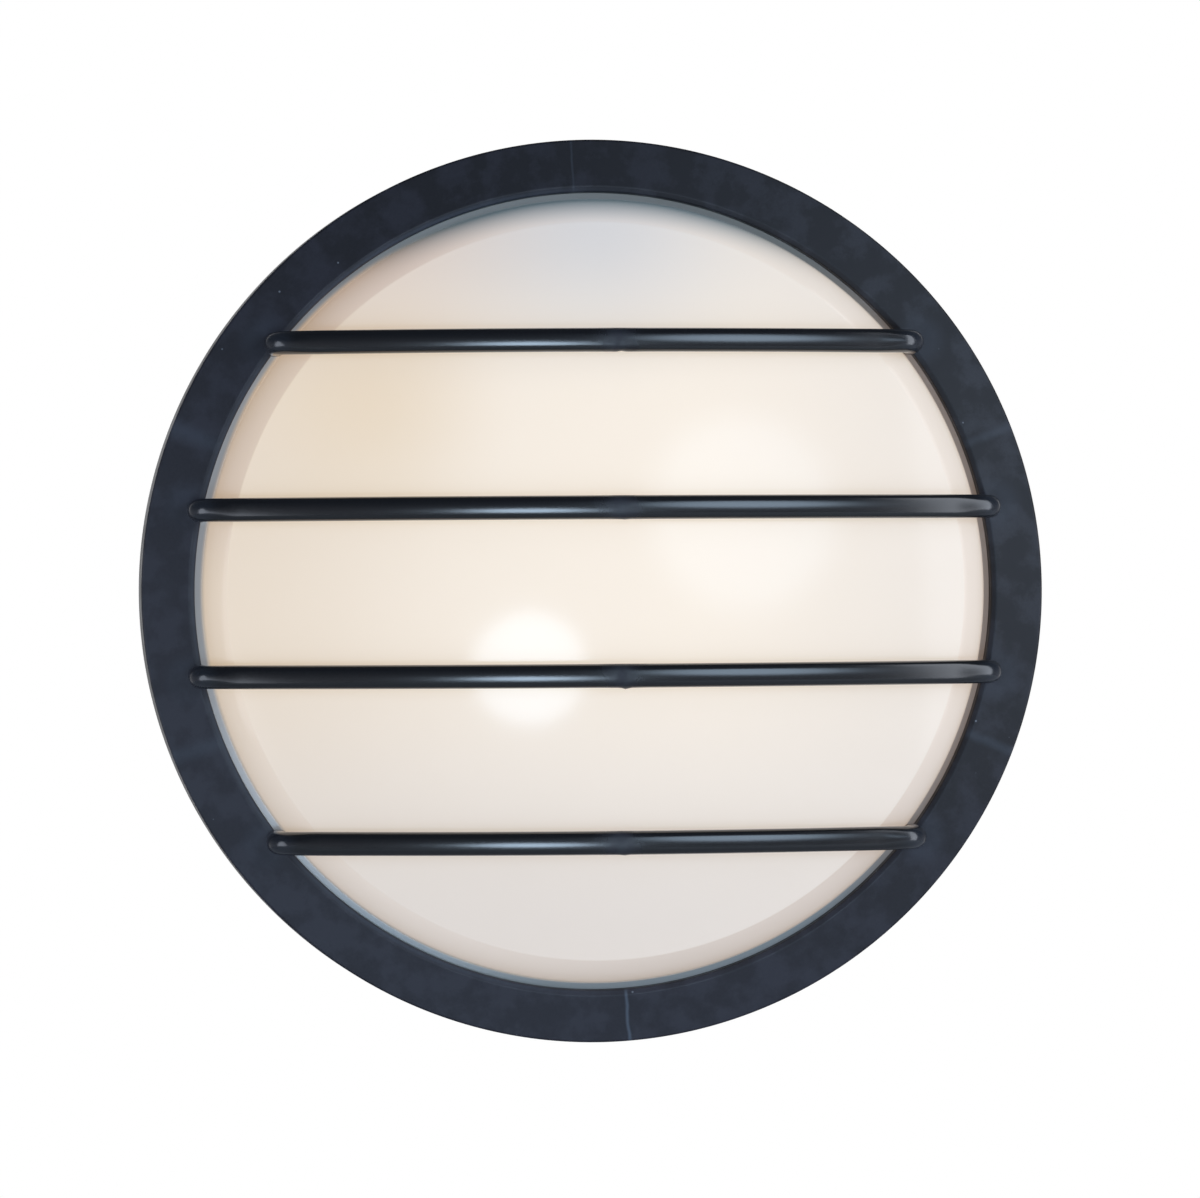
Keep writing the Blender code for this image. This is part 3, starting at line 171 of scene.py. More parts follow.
# Foam ring, in a groove whose sides are given in from the housing's edge, and grommet
FOAM_GROOVE = (0.0060, 0.0022)
FOAM_GROOVE_DEPTH = 0.0030
FOAM_REAR = 0.00015
SEAL_CLEARANCE = 0.0003
GROMMET_BORE_R = 0.0045
GROMMET_FLANGE_R = 0.0096
GROMMET_NOSE_R = 0.0070
GROMMET_ENDS = (0.0028, 0.0102)

# Finish of the black moulding: colours, how far the painted light towards the lower left reaches, the
# painted light on the lip, the bars' gloss, the patch at the gates, and the weld lines of the ring as
# (angle in degrees, width, wave, share)
BLACK = {
    "deep": (0.0070, 0.0072, 0.0112),
    # pale end of the clouds, and the painted light towards the lower left
    "pale_and_painted_light": (0.0275, 0.0284, 0.0400),
    "dust": (0.26, 0.29, 0.34),
    "bar": (0.0050, 0.0055, 0.0070),
    "gate": (0.031, 0.035, 0.043),
    # painted light on the left of the lip
    "lip": (0.060, 0.076, 0.105),
    "weld": (0.105, 0.135, 0.180),
    # painted highlight beside the bars' feet
    "halo": (0.055, 0.068, 0.095),
}
PAINTED_LIGHT_REACH = 0.16
PAINTED_LIP_LIGHT_EDGES = (0.1166, 0.1154)
BAR_GLOSS_DEPTHS = (0.0652, 0.0664)
BAR_ROUGHNESS = (0.22, 0.22, 0.22)
GATE_PATCH_X = 0.0050
GATE_PATCH_EDGES = (0.0140, 0.0035)
GATE_PATCH_TEAR = 0.0120
WELD_LINES = (
    (274.1, 0.0008, 0.0005, 0.60), (92.7, 0.0005, 0.0003, 0.14), (158.6, 0.0040, 0.0008, 0.16),
    (201.3, 0.0040, 0.0008, 0.16), (21.2, 0.0022, 0.0006, 0.12), (338.7, 0.0022, 0.0006, 0.18),
)

# Finish of the opal lens: colours of its painted glow and painted shade, the amber patch as
# (middle, radius), and the radii between which the shoulder turns away and the wall gives way to the
# flange's painted shade
GLOW = {
    "left": (0.565, 0.435, 0.285),
    "middle": (0.655, 0.540, 0.402),
    "right": (0.545, 0.448, 0.343),
    "amber": (0.530, 0.360, 0.150),
    "low": (0.480, 0.400, 0.325),
    "top left": (0.470, 0.350, 0.250),
    "top": (0.405, 0.372, 0.350),
    "shoulder": (0.40, 0.22, 0.10),
    "low shoulder": (0.20, 0.10, 0.02),
    "high shoulder": (0.20, 0.05, 0.0),
    "turned away": (0.0, 0.035, 0.05),
    "flange left": (0.18, 0.19, 0.205),
    "flange right": (0.145, 0.110, 0.090),
    # painted shade on the flange below and above
    "flange low": (0.075, 0.10, 0.12),
    "flange high": (0.070, 0.082, 0.088),
}
AMBER_PATCH = ((-0.065, 0.0, 0.055), 0.045)
SHOULDER_EDGES = (0.1060, 0.1130)
FLANGE_EDGES = (0.1118, 0.1136)
# Base colour of the flange, painted grey as the shade under the ring's lip
FLANGE_PAINTED_SHADE = (0.22, 0.22, 0.22)

# Studio: world colours, floor, and lamps as (name, azimuth, elevation, distance, power, colour,
# width, height), with angles in degrees from the light's front
ROOM_ABOVE = (0.06, 0.07, 0.09)
ROOM_BELOW = (0.20, 0.21, 0.24)
FLOOR_R = 0.9
FLOOR_PLACE = (0.0, -0.05, -0.36)
FLOOR_SEEN = (0.52, 0.50, 0.47)
LAMPS = (
    ("low_front", -5.3, -9.9, 1.75, 5.6, (0.62, 0.80, 1.0), 0.44, 0.44),
    ("right_front", 22.2, 9.3, 1.78, 5.3, (0.62, 0.80, 1.0), 0.70, 0.70),
    ("right_halo", 22.2, 9.3, 1.78, 2.9, (0.62, 0.80, 1.0), 0.84, 0.84),
    ("left_panel", -60.0, -26.0, 1.40, 12.0, (0.80, 0.87, 1.0), 0.95, 2.40),
    ("right_panel", 61.0, 4.0, 1.40, 13.0, (0.84, 0.90, 1.0), 0.75, 2.60),
)

# Camera: its turn in degrees, and its aim in pixels of a picture whose ring is RING_PIXELS across
CAMERA_YAW = 4.0
CAMERA_PITCH = 0.3
CAMERA_ROLL = 0.35
CAMERA_DISTANCE = 1.5
SENSOR_WIDTH = 36.0
PICTURE_PIXELS = 1200.0
RING_PIXELS = 902.9
AIM_PIXELS = (5.6, -7.85)


def grid_faces(rows, columns, close_rows, close_columns):
    """Four-sided faces of a grid of points, as rows of four indices; either way round can be closed."""
    down = np.arange(rows if close_rows else rows - 1)
    across = np.arange(columns if close_columns else columns - 1)
    i, j = np.meshgrid(down, across, indexing="ij")
    next_i = (i + 1) % rows
    next_j = (j + 1) % columns
    quads = [i * columns + j, i * columns + next_j, next_i * columns + next_j, next_i * columns + j]
    return np.stack(quads, axis=-1).reshape(-1, 4)


def make_piece(name, parts, body, nodes, slot, sharp=SHARP_ANGLE):
    """One object from several (points, faces) parts.

    Doubles merge, faces turn outwards, and an edge that bends by more than the sharp angle stays sharp.
    """
    starts = np.cumsum([0] + [len(points) for points, _ in parts])
    points = np.concatenate([points for points, _ in parts])
    faces = [face for (_, part), start in zip(parts, starts) for face in (part + start).tolist()]
    mesh = bpy.data.meshes.new(name)
    mesh.from_pydata(points.tolist(), [], faces)
    bm = bmesh.new()
    bm.from_mesh(mesh)
    bmesh.ops.remove_doubles(bm, verts=bm.verts, dist=MERGE_DISTANCE)
    bmesh.ops.recalc_face_normals(bm, faces=bm.faces)
    bm.to_mesh(mesh)
    bm.free()
    mesh.shade_smooth()
    mesh.set_sharp_from_angle(angle=math.radians(sharp))
    made = bpy.data.objects.new(name, mesh)
    bpy.context.scene.collection.objects.link(made)
    if nodes:
        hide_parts(*nodes)
    if body:
        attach(made, body)
        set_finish(made, slot)
    return made


def rounded(corners, steps=7):
    """Closed profile whose corners (radius, depth, rounding) turn on arcs that meet both sides.

    An arc's centre lies on the corner's bisector, rounding / sin(half the corner) away, and its points
    turn evenly from one side's foot to the other's. A point just beyond each foot keeps the sides flat.
    """
    spots = np.array([corner[:2] for corner in corners], float)
    found = []
    for index, (_, _, rounding) in enumerate(corners):
        here = spots[index]
        back = spots[index - 1] - here
        on = spots[(index + 1) % len(spots)] - here
        back = back / np.linalg.norm(back)
        on = on / np.linalg.norm(on)
        if rounding == 0.0:
            found.append(here[None])
            continue
        half = math.acos(float(back @ on)) / 2
        reach = rounding / math.tan(half)
        bisector = (back + on) / np.linalg.norm(back + on)
        centre = here + bisector * rounding / math.sin(half)
        start = here + back * reach - centre
        end = here + on * reach - centre
        turn = math.pi - 2 * half
        share = np.linspace(0.0, 1.0, steps + 1)[:, None]
        bow = (np.sin((1 - share) * turn) * start + np.sin(share * turn) * end) / math.sin(turn)
        beyond = reach + min(0.0002, rounding / 3)
        found += [(here + back * beyond)[None], centre + bow, (here + on * beyond)[None]]
    return np.concatenate(found)


def revolve(profile, steps, closed=True):
    """Turns a profile round the light's axis: a point goes to (radius cos a, -depth, radius sin a)."""
    angle = np.linspace(0.0, 2 * math.pi, steps, endpoint=False)
    radius = profile[:, 0, None]
    depth = profile[:, 1, None] * np.ones(steps)
    points = np.stack([radius * np.cos(angle), -depth, radius * np.sin(angle)], axis=-1)
    return points.reshape(-1, 3), grid_faces(len(profile), steps, closed, True)


def ring_block(inner, outer, rear, front, start, end, edge=0.0003):
    """A piece of a ring between two angles: a rounded rectangular section carried round the axis.

    The first and last sections shrink to the section's middle, which closes the ends.
    """
    section = rounded(
        [(inner, rear, edge), (outer, rear, edge), (outer, front, edge), (inner, front, edge)], 3
    )
    middle = section.mean(axis=0)
    angle = np.linspace(start, end, 15)
    scale = np.ones(len(angle) + 2)
    scale[[0, -1]] = 0.0
    angle = np.concatenate([[start], angle, [end]])
    shown = middle + (section - middle) * scale[:, None, None]
    radius, depth = shown[..., 0], shown[..., 1]
    points = np.stack([radius * np.cos(angle[:, None]), -depth, radius * np.sin(angle[:, None])], axis=-1)
    return points.reshape(-1, 3), grid_faces(len(angle), len(section), False, True)


def post(radius, rear, front, x, z, steps=40, edge=0.0003):
    """A round post along Y with chamfered ends: a profile from axis to axis, turned and set at (x, z)."""
    profile = np.array([
        (0.0, rear), (radius - edge, rear), (radius, rear + edge), (radius, front - edge),
        (radius - edge, front), (0.0, front),
    ])
    points, faces = revolve(profile, steps, closed=False)
    return points + np.array([x, 0.0, z]), faces


def skirt_radius(depth):
    """Outer radius of the skirt, which widens towards the wall."""
    return GUARD_R + (FACE_DEPTH - depth) * math.tan(SKIRT_DRAFT)


def face_depth(radius):
    """Depth of the guard's conical face, which rises towards the opening."""
    return FACE_DEPTH + FACE_RISE * (GUARD_R - radius) / (GUARD_R - OPENING_R)


def ring_profile():
    """Section of the ring: skirt, conical face, chamfered lip that bears on the lens, even wall behind."""
    web = OPENING_R + LIP_WIDTH
    under = face_depth(web) - GUARD_WALL
    inner = GUARD_R - GUARD_WALL
    return rounded([
        (skirt_radius(SKIRT_REAR), SKIRT_REAR, 0.0004),
        (GUARD_R, FACE_DEPTH, 0.0008),
        (OPENING_R + CHAMFER, face_depth(OPENING_R + CHAMFER), 0.0012),
        (OPENING_R, face_depth(OPENING_R + CHAMFER) - CHAMFER * math.tan(CHAMFER_SLOPE), 0.0006),
        (OPENING_R, LIP_UNDER, 0.0003),
        (web, LIP_UNDER, 0.0003),
        (web, under, 0.0005),
        (inner, FACE_DEPTH - GUARD_WALL, 0.0012),
        (skirt_radius(SKIRT_REAR) - GUARD_WALL, SKIRT_REAR, 0.0004),
    ])


def bar_line(height):
    """Middle line of one bar as (x, depth) points: leg, bend, bow over the lens, bend, leg.

    The bow is the circle that the bar's plane cuts from the guard's sphere, and each bend is an arc
    that touches the bow and the upright leg.
    """
    foot_x = math.sqrt(BAR_FOOT_R ** 2 - height ** 2)
    bow_r = math.sqrt(BAR_SPHERE_R ** 2 - height ** 2)
    bow_centre = FACE_DEPTH + BAR_RISE - math.sqrt(BAR_SPHERE_R ** 2 - BAR_FOOT_R ** 2)
    bend_x = foot_x - BAR_BEND_R
    bend_depth = bow_centre + math.sqrt((bow_r - BAR_BEND_R) ** 2 - bend_x ** 2)
    lean = math.asin(bend_x / (bow_r - BAR_BEND_R))
    face = face_depth(BAR_FOOT_R + BAR_R)
    leg_depth = np.concatenate([
        np.linspace(face - BAR_ROOT, face, 4, endpoint=False),
        face + BAR_FILLET * np.linspace(0.0, 1.0, 9) ** 1.5,
        np.linspace(face + BAR_FILLET, bend_depth, 8)[1:-1],
    ])
    leg = np.stack([np.full(len(leg_depth), foot_x), leg_depth], axis=-1)
    turn = np.linspace(0.0, math.pi / 2 - lean, 18)
    bend = np.stack([bend_x + BAR_BEND_R * np.cos(turn), bend_depth + BAR_BEND_R * np.sin(turn)], axis=-1)
    bow_turn = np.linspace(lean, -lean, 242)[1:-1]
    bow = np.stack([bow_r * np.sin(bow_turn), bow_centre + bow_r * np.cos(bow_turn)], axis=-1)
    half = np.concatenate([leg, bend])
    return np.concatenate([half, bow, half[::-1] * np.array([-1.0, 1.0])]), face


def bar_section(steps):
    """Half section of a bar's bow as (out, up) points, from its front middle over its top to its back.

    The front is a crown of radius c, the corner an arc of radius k that meets it where
    (c - k) sin t + k equals the half height, and the back mirrors the front.
    """
    lean = math.asin((BAR_R - BAR_CORNER_R) / (BAR_CROWN_R - BAR_CORNER_R))
    turn = np.concatenate([np.linspace(0.0, lean, steps + 1)[:-1], np.linspace(lean, math.pi / 2, steps)])
    front = BAR_HALF_DEEP - BAR_CROWN_R
    centre = np.array([front + (BAR_CROWN_R - BAR_CORNER_R) * math.cos(lean), BAR_R - BAR_CORNER_R])
    crown = np.stack([front + BAR_CROWN_R * np.cos(turn), BAR_CROWN_R * np.sin(turn)], axis=-1)
    corner = centre + BAR_CORNER_R * np.stack([np.cos(turn), np.sin(turn)], axis=-1)
    quarter = np.where((turn < lean)[:, None], crown, corner)
    return np.concatenate([quarter, quarter[:-1][::-1] * np.array([-1.0, 1.0])])


def bar(height, gate):
    """A bar along its middle line, with a small fillet where it stands on the face.

    The bow has a crowned section that becomes a circle in the bends, so the legs are round. The change
    is an eased step, counted in bend radii in from the leg.

    The fillet adds f (1 - sqrt(1 - (1 - h / f)^2)) to the radius at height h above the face, and runs
    out over the lip's chamfer, so that none of it hangs in the opening. The gate mark under the bar's
    middle is a low bump, or with a negative value a dent: gate exp(-(x / w)^2), on the side that looks
    down. The first and last rings shrink to a point, which closes the ends.
    """
    line, face = bar_line(height)
    along = np.gradient(line, axis=0)
    along /= np.linalg.norm(along, axis=1, keepdims=True)
    across = np.stack([along[:, 1], -along[:, 0]], axis=-1)
    over = np.clip(1 - (line[:, 1] - face) / BAR_FILLET, 0.0, 1.0)
    over *= np.abs(line[:, 0]) > OPENING_R / 2
    fillet = BAR_FILLET * (1 - np.sqrt(1 - over ** 2))
    half = bar_section(6)
    section = np.concatenate([half, half[1:-1][::-1] * np.array([1.0, -1.0])])
    angle = np.arctan2(section[:, 1], section[:, 0])
    circle = BAR_R * np.stack([np.cos(angle), np.sin(angle)], axis=-1)
    beside = line[:, 0, None] + across[:, 0, None] * circle[:, 0]
    on_ring = np.clip((np.hypot(beside, height + circle[:, 1]) - OPENING_R) / CHAMFER, 0.0, 1.0)
    radius = BAR_R + fillet[:, None] * on_ring
    inward = math.sqrt(BAR_FOOT_R ** 2 - height ** 2) - np.abs(line[:, 0])
    bowed = np.clip((inward / BAR_BEND_R - ROUND_BENDS) / CROWNING_BENDS, 0.0, 1.0)
    bowed = (bowed * bowed * (3 - 2 * bowed))[:, None, None]
    shown = (circle + (section - circle) * bowed) * (radius / BAR_R)[..., None]
    below = np.clip(-np.sin(angle), 0.0, 1.0) ** 6
    bump = gate * np.exp(-((line[:, 0] - GATE_X) / GATE_WIDTH) ** 2)
    shown[..., 1] -= bump[:, None] * below
    shown = np.concatenate([shown[:1] * 0, shown, shown[:1] * 0])
    line = np.concatenate([line[:1], line, line[-1:]])
    across = np.concatenate([across[:1], across, across[-1:]])
    out, up = shown[..., 0], shown[..., 1]
    x = line[:, 0, None] + across[:, 0, None] * out
    depth = line[:, 1, None] + across[:, 1, None] * out
    points = np.stack([x, -depth, height + up], axis=-1).reshape(-1, 3)
    return points, grid_faces(len(line), len(angle), False, True)


def lens_profile():
    """Closed section of the lens: sphere, crease, shoulder, steep wall and flange, and the same moved in.

    The sphere reaches the crease; the shoulder's arc turns from 30 to 85 degrees from the axis.
    """
    start, end = math.radians(30.0), math.radians(85.0)
    shoulder_r = (LENS_WALL_R - CREASE_R) / (math.sin(end) - math.sin(start))
    centre = np.array([CREASE_R - shoulder_r * math.sin(start), CREASE_DEPTH - shoulder_r * math.cos(start)])
    sphere_centre = CREASE_DEPTH - math.sqrt(LENS_SPHERE_R ** 2 - CREASE_R ** 2)
    lean = math.asin(CREASE_R / LENS_SPHERE_R)

    def front(offset):
        turn = np.linspace(0.0, lean, 60)[:-1]
        reach = LENS_SPHERE_R + offset
        dome = np.stack([reach * np.sin(turn), sphere_centre + reach * np.cos(turn)], axis=-1)
        turn = np.linspace(start, end, 26)
        reach = shoulder_r + offset
        shoulder = centre + np.stack([reach * np.sin(turn), reach * np.cos(turn)], axis=-1)
        return np.concatenate([dome, shoulder])

    rim = np.array([
        (LENS_WALL_R, FLANGE_FRONT), (FLANGE_R, FLANGE_FRONT), (FLANGE_R, FLANGE_REAR),
        (LENS_WALL_R - LENS_WALL, FLANGE_REAR),
    ])
    return np.concatenate([front(0.0), rim, front(-LENS_WALL)[::-1]])


def housing_radius(depth):
    """Outer radius of the housing, which narrows towards the wall."""
    return RIM_R - (HOUSING_DEPTH - depth) * math.tan(HOUSING_DRAFT)


def housing_profile():
    """Section of the pan from the axis round its wall side to its open front, with both gasket grooves."""
    rear = housing_radius(0.0)
    bearing = rear - BEARING_WIDTH
    foam_inner, foam_outer = [rear - inset for inset in FOAM_GROOVE]
    seal_inner, seal_outer = SEAL_GROOVE_R
    return rounded([
        (0.0, 0.0, 0.0),
        (CENTRE_PAD_R, 0.0, 0.0003), (CENTRE_PAD_R + 0.0005, BACK_RECESS, 0.0004),
        (bearing - 0.0004, BACK_RECESS, 0.0004), (bearing, 0.0, 0.0004),
        (foam_inner, 0.0, 0.0002), (foam_inner, FOAM_GROOVE_DEPTH, 0.0),
        (foam_outer, FOAM_GROOVE_DEPTH, 0.0), (foam_outer, 0.0, 0.0002),
        (rear, 0.0, 0.0015), (RIM_R, HOUSING_DEPTH, 0.0003),
        (seal_outer, HOUSING_DEPTH, 0.0003), (seal_outer, SEAL_GROOVE_FLOOR, 0.0),
        (seal_inner, SEAL_GROOVE_FLOOR, 0.0), (seal_inner, HOUSING_DEPTH, 0.0003),
        (RIM_INNER_R, HOUSING_DEPTH, 0.0003), (RIM_INNER_R, RIM_UNDER, 0.0003), (*RIM_STEP, 0.0003),
        (housing_radius(BACK_FRONT) - HOUSING_WALL, BACK_FRONT, 0.0030), (0.0, BACK_FRONT, 0.0),
    ], 4)


def box_part(low, high, turn):
    """A box between two corners (radius, depth, across), turned about the light's axis."""
    radius, depth, across = [np.array([a, b]) for a, b in zip(low, high)]
    corner = np.array([[i, j, k] for i in (0, 1) for j in (0, 1) for k in (0, 1)])
    x, d, z = radius[corner[:, 0]], depth[corner[:, 1]], across[corner[:, 2]]
    points = np.stack([x * math.cos(turn) - z * math.sin(turn), -d,
                       x * math.sin(turn) + z * math.cos(turn)], axis=-1)
    faces = np.array([
        [0, 1, 3, 2], [4, 6, 7, 5], [0, 4, 5, 1], [2, 3, 7, 6], [0, 2, 6, 4], [1, 5, 7, 3],
    ])
    return points, faces


def cut(made, cutters):
    """Cuts closed (points, faces) parts out of a piece and keeps the result as its plain mesh."""
    tool = make_piece("cutter", cutters, None, (), None)
    holes = made.modifiers.new("holes", "BOOLEAN")
    holes.operation = "DIFFERENCE"
    holes.solver = "EXACT"
    holes.use_self = True
    holes.object = tool
    bpy.context.view_layer.update()
    graph = bpy.context.evaluated_depsgraph_get()
    mesh = bpy.data.meshes.new_from_object(made.evaluated_get(graph))
    made.modifiers.clear()
    made.data = mesh
    mesh.shade_smooth()
    mesh.set_sharp_from_angle(angle=math.radians(SHARP_ANGLE))
    bpy.data.objects.remove(tool)


def make_guard():
    """The guard in one piece: ring, bars, bayonet lugs and the bosses of the lens clips."""
    parts = [revolve(ring_profile(), GUARD_STEPS)]
    parts += [bar(height, rise) for height, rise in zip(BAR_HEIGHTS, GATE_RISES)]
    outer = skirt_radius(LUG_DEPTHS[1]) - GUARD_WALL / 2
    for angle in LUG_ANGLES:
        start, end = angle - LUG_SPAN / 2, angle + LUG_SPAN / 2
        parts.append(ring_block(RIM_R + LUG_CLEARANCE, outer, *LUG_DEPTHS, start, end))
    root = face_depth(CLIP_BOSS_CENTRE) - GUARD_WALL / 2
    for angle in CLIP_ANGLES:
        x, z = CLIP_BOSS_CENTRE * math.cos(angle), CLIP_BOSS_CENTRE * math.sin(angle)
        parts.append(post(CLIP_BOSS_R, FLANGE_REAR, root, x, z))
    make_piece("guard_moulding", parts, "guard", ["guard_frame"], "guard_black")


def make_lens():
    """The opal lens as one turned shell."""
    parts = [revolve(lens_profile(), GUARD_STEPS)]
    make_piece("lens_moulding", parts, "guard", ["diffuser_lens"], "opal_lens", sharp=6.0)


def make_housing():
    """The pan with its bayonet ledges and stops, rear ribs, fixing bosses and holes."""
    parts = [revolve(housing_profile(), HOUSING_STEPS, closed=False)]
    inner = housing_radius(LEDGE_DEPTHS[0]) - LEDGE_ROOT
    stop_front = LEDGE_DEPTHS[0] + SINK
    gap = STOP_GAP / inner
    for angle in LUG_ANGLES:
        stop_end = angle - LUG_SPAN / 2 - gap
        stop_start = stop_end - STOP_SPAN
        ledge_end = angle + LUG_SPAN / 2 + LEDGE_OVERLAP
        parts.append(ring_block(inner, LEDGE_R, *LEDGE_DEPTHS, stop_start, ledge_end))
        parts.append(ring_block(inner, LEDGE_R, STOP_REAR, stop_front, stop_start, stop_end))
    rib_low = (CENTRE_PAD_R - SINK, RIB_DEPTHS[0], -RIB_HALF_WIDTH)
    rib_high = (housing_radius(0.0) - RIB_STOP, RIB_DEPTHS[1], RIB_HALF_WIDTH)
    for angle in RIB_ANGLES:
        parts.append(box_part(rib_low, rib_high, angle))
    for angle in LUG_ANGLES:
        x, z = FIXING_R * math.cos(angle), FIXING_R * math.sin(angle)
        parts.append(post(FIXING_BOSS_R, 0.0, FIXING_BOSS_FRONT, x, z))
    made = make_piece("housing_moulding", parts, "housing", ["back_housing"], "housing_black")
    holes = [post(ENTRY_HOLE_R, -CUT_OVER, BACK_FRONT + CUT_OVER, *ENTRY, edge=0.0)]
    for angle in LUG_ANGLES:
        x, z = FIXING_R * math.cos(angle), FIXING_R * math.sin(angle)
        holes.append(post(SCREW_HOLE_R, -CUT_OVER, FIXING_BOSS_FRONT + CUT_OVER, x, z, edge=0.0))
    cut(made, holes)


def make_seals():
    """The foam ring in the groove of the housing's back, and the grommet of the cable entry."""
    inner = housing_radius(0.0) - FOAM_GROOVE[0] + SEAL_CLEARANCE
    outer = housing_radius(0.0) - FOAM_GROOVE[1] - SEAL_CLEARANCE
    front = FOAM_GROOVE_DEPTH - SEAL_CLEARANCE
    foam = rounded([
        (inner, FOAM_REAR, 0.0006), (outer, FOAM_REAR, 0.0006),
        (outer, front, 0.0003), (inner, front, 0.0003),
    ], 4)
    make_piece("foam_ring", [revolve(foam, HOUSING_STEPS)], "housing", ["wall_gasket"], "foam")
    waist = ENTRY_HOLE_R - SEAL_CLEARANCE
    behind, ahead = BACK_RECESS - SEAL_CLEARANCE, BACK_FRONT + SEAL_CLEARANCE
    rear, nose = GROMMET_ENDS
    grommet = rounded([
        (GROMMET_BORE_R, rear, 0.0004), (GROMMET_FLANGE_R, rear, 0.0006), (GROMMET_FLANGE_R, behind, 0.0006),
        (waist, behind, 0.0002), (waist, ahead, 0.0002), (GROMMET_FLANGE_R, ahead, 0.0006),
        (GROMMET_NOSE_R, nose, 0.0004), (GROMMET_BORE_R, nose, 0.0004),
    ], 4)
    points, faces = revolve(grommet, 64)
    points = points + np.array([ENTRY[0], 0.0, ENTRY[1]])
    make_piece("entry_grommet", [(points, faces)], "housing", ["cable_grommet"], "seal_rubber")


def add(tree, kind, links=None, **settings):
    """A shader node with its settings; links gives each input a value or the output socket that feeds it."""
    made = tree.nodes.new(kind)
    for key, value in settings.items():
        setattr(made, key, value)
    for key, value in (links or {}).items():
        if isinstance(value, bpy.types.NodeSocket):
            tree.links.new(value, made.inputs[key])
        else:
            made.inputs[key].default_value = value
    return made


def maths(tree, operation, *values):
    """The output of a Math node."""
    return add(tree, "ShaderNodeMath", dict(enumerate(values)), operation=operation).outputs[0]


def product(tree, first, *others):
    """Several values multiplied together."""
    for other in others:
        first = maths(tree, "MULTIPLY", first, other)
    return first


def ramp(tree, value, low, high, smooth=True):
    """0 where a value is at low, 1 where it is at high, with an eased or an even rise between."""
    kind = "SMOOTHSTEP" if smooth else "LINEAR"
    links = {"Value": value, "From Min": low, "From Max": high}
    return add(tree, "ShaderNodeMapRange", links, interpolation_type=kind).outputs["Result"]


def mix(tree, share, a, b):
    """A colour between two, by share."""
    made = add(tree, "ShaderNodeMix", {0: share}, data_type="RGBA")
    for socket, value in zip((made.inputs[6], made.inputs[7]), (a, b)):
        if isinstance(value, bpy.types.NodeSocket):
            tree.links.new(value, socket)
        else:
            socket.default_value = (*value, 1.0)
    return made.outputs[2]


def new_group(name, inputs, outputs):
    """An empty node group with named sockets: inputs are (name, kind, value), outputs are (name, kind)."""
    group = bpy.data.node_groups.new(name, "ShaderNodeTree")
    for label, kind, value in inputs:
        socket = group.interface.new_socket(label, in_out="INPUT", socket_type=f"NodeSocket{kind}")
        socket.default_value = value
    for label, kind in outputs:
        group.interface.new_socket(label, in_out="OUTPUT", socket_type=f"NodeSocket{kind}")
    return group, add(group, "NodeGroupInput").outputs, add(group, "NodeGroupOutput").inputs


def put(tree, group, values=None):
    """Places a node group in a material with its own values and returns its outputs."""
    made = tree.nodes.new("ShaderNodeGroup")
    made.node_tree = group
    for key, value in (values or {}).items():
        if isinstance(value, bpy.types.NodeSocket):
            tree.links.new(value, made.inputs[key])
        else:
            made.inputs[key].default_value = value
    return made.outputs


def make_grain():
    """Moulded or cast skin: broad clouds of tone, a fine grain, and rare bright specks of dust."""
    group, given, out = new_group(
        "moulded_grain",
        [("Cloud Size", "Float", 40.0), ("Grain Size", "Float", 1800.0), ("Speck Share", "Float", 0.02)],
        [("Cloud", "Float"), ("Grain", "Float"), ("Speck", "Float")],
    )
    place = add(group, "ShaderNodeTexCoord").outputs["Object"]
    cloud = add(group, "ShaderNodeTexNoise", {
        "Vector": place, "Scale": given["Cloud Size"], "Detail": 5.0, "Roughness": 0.55,
    })
    grain = add(group, "ShaderNodeTexNoise", {
        "Vector": place, "Scale": given["Grain Size"], "Detail": 2.0, "Roughness": 0.6,
    })
    speck = add(group, "ShaderNodeTexVoronoi", {"Vector": place, "Scale": 300.0}, distance="EUCLIDEAN")
    chosen = maths(group, "LESS_THAN", add(
        group, "ShaderNodeSeparateColor", {"Color": speck.outputs["Color"]}
    ).outputs[0], given["Speck Share"])
    dot = ramp(group, speck.outputs["Distance"], 0.12, 0.05)
    group.links.new(cloud.outputs["Fac"], out["Cloud"])
    group.links.new(grain.outputs["Fac"], out["Grain"])
    group.links.new(product(group, chosen, dot), out["Speck"])
    return group


def make_weld_line():
    """A flow line that runs out across the ring at an angle, wavy by noise, with a soft width.

    The distance from the line is z cos a - x sin a, and only the side where x cos a + z sin a is
    beyond the opening counts.
    """
    group, given, out = new_group(
        "weld_line",
        [("Angle", "Float", 0.0), ("Width", "Float", 0.0005), ("Wave", "Float", 0.0006)],
        [("Mask", "Float")],
    )
    place = add(group, "ShaderNodeTexCoord").outputs["Object"]
    axes = add(group, "ShaderNodeSeparateXYZ", {"Vector": place}).outputs
    cosine = maths(group, "COSINE", given["Angle"])
    sine = maths(group, "SINE", given["Angle"])
    across = maths(
        group, "SUBTRACT", product(group, axes["Z"], cosine), product(group, axes["X"], sine)
    )
    along = maths(group, "ADD", product(group, axes["X"], cosine), product(group, axes["Z"], sine))
    wobble = add(group, "ShaderNodeTexNoise", {"Vector": place, "Scale": 110.0, "Detail": 2.0})
    shift = product(group, maths(group, "SUBTRACT", wobble.outputs["Fac"], 0.5), given["Wave"], 4.0)
    away = maths(group, "ABSOLUTE", maths(group, "ADD", across, shift))
    line = ramp(group, away, given["Width"], 0.0)
    outside = ramp(group, along, OPENING_R - 0.0006, OPENING_R + 0.0014)
    group.links.new(product(group, line, outside), out["Mask"])
    return group


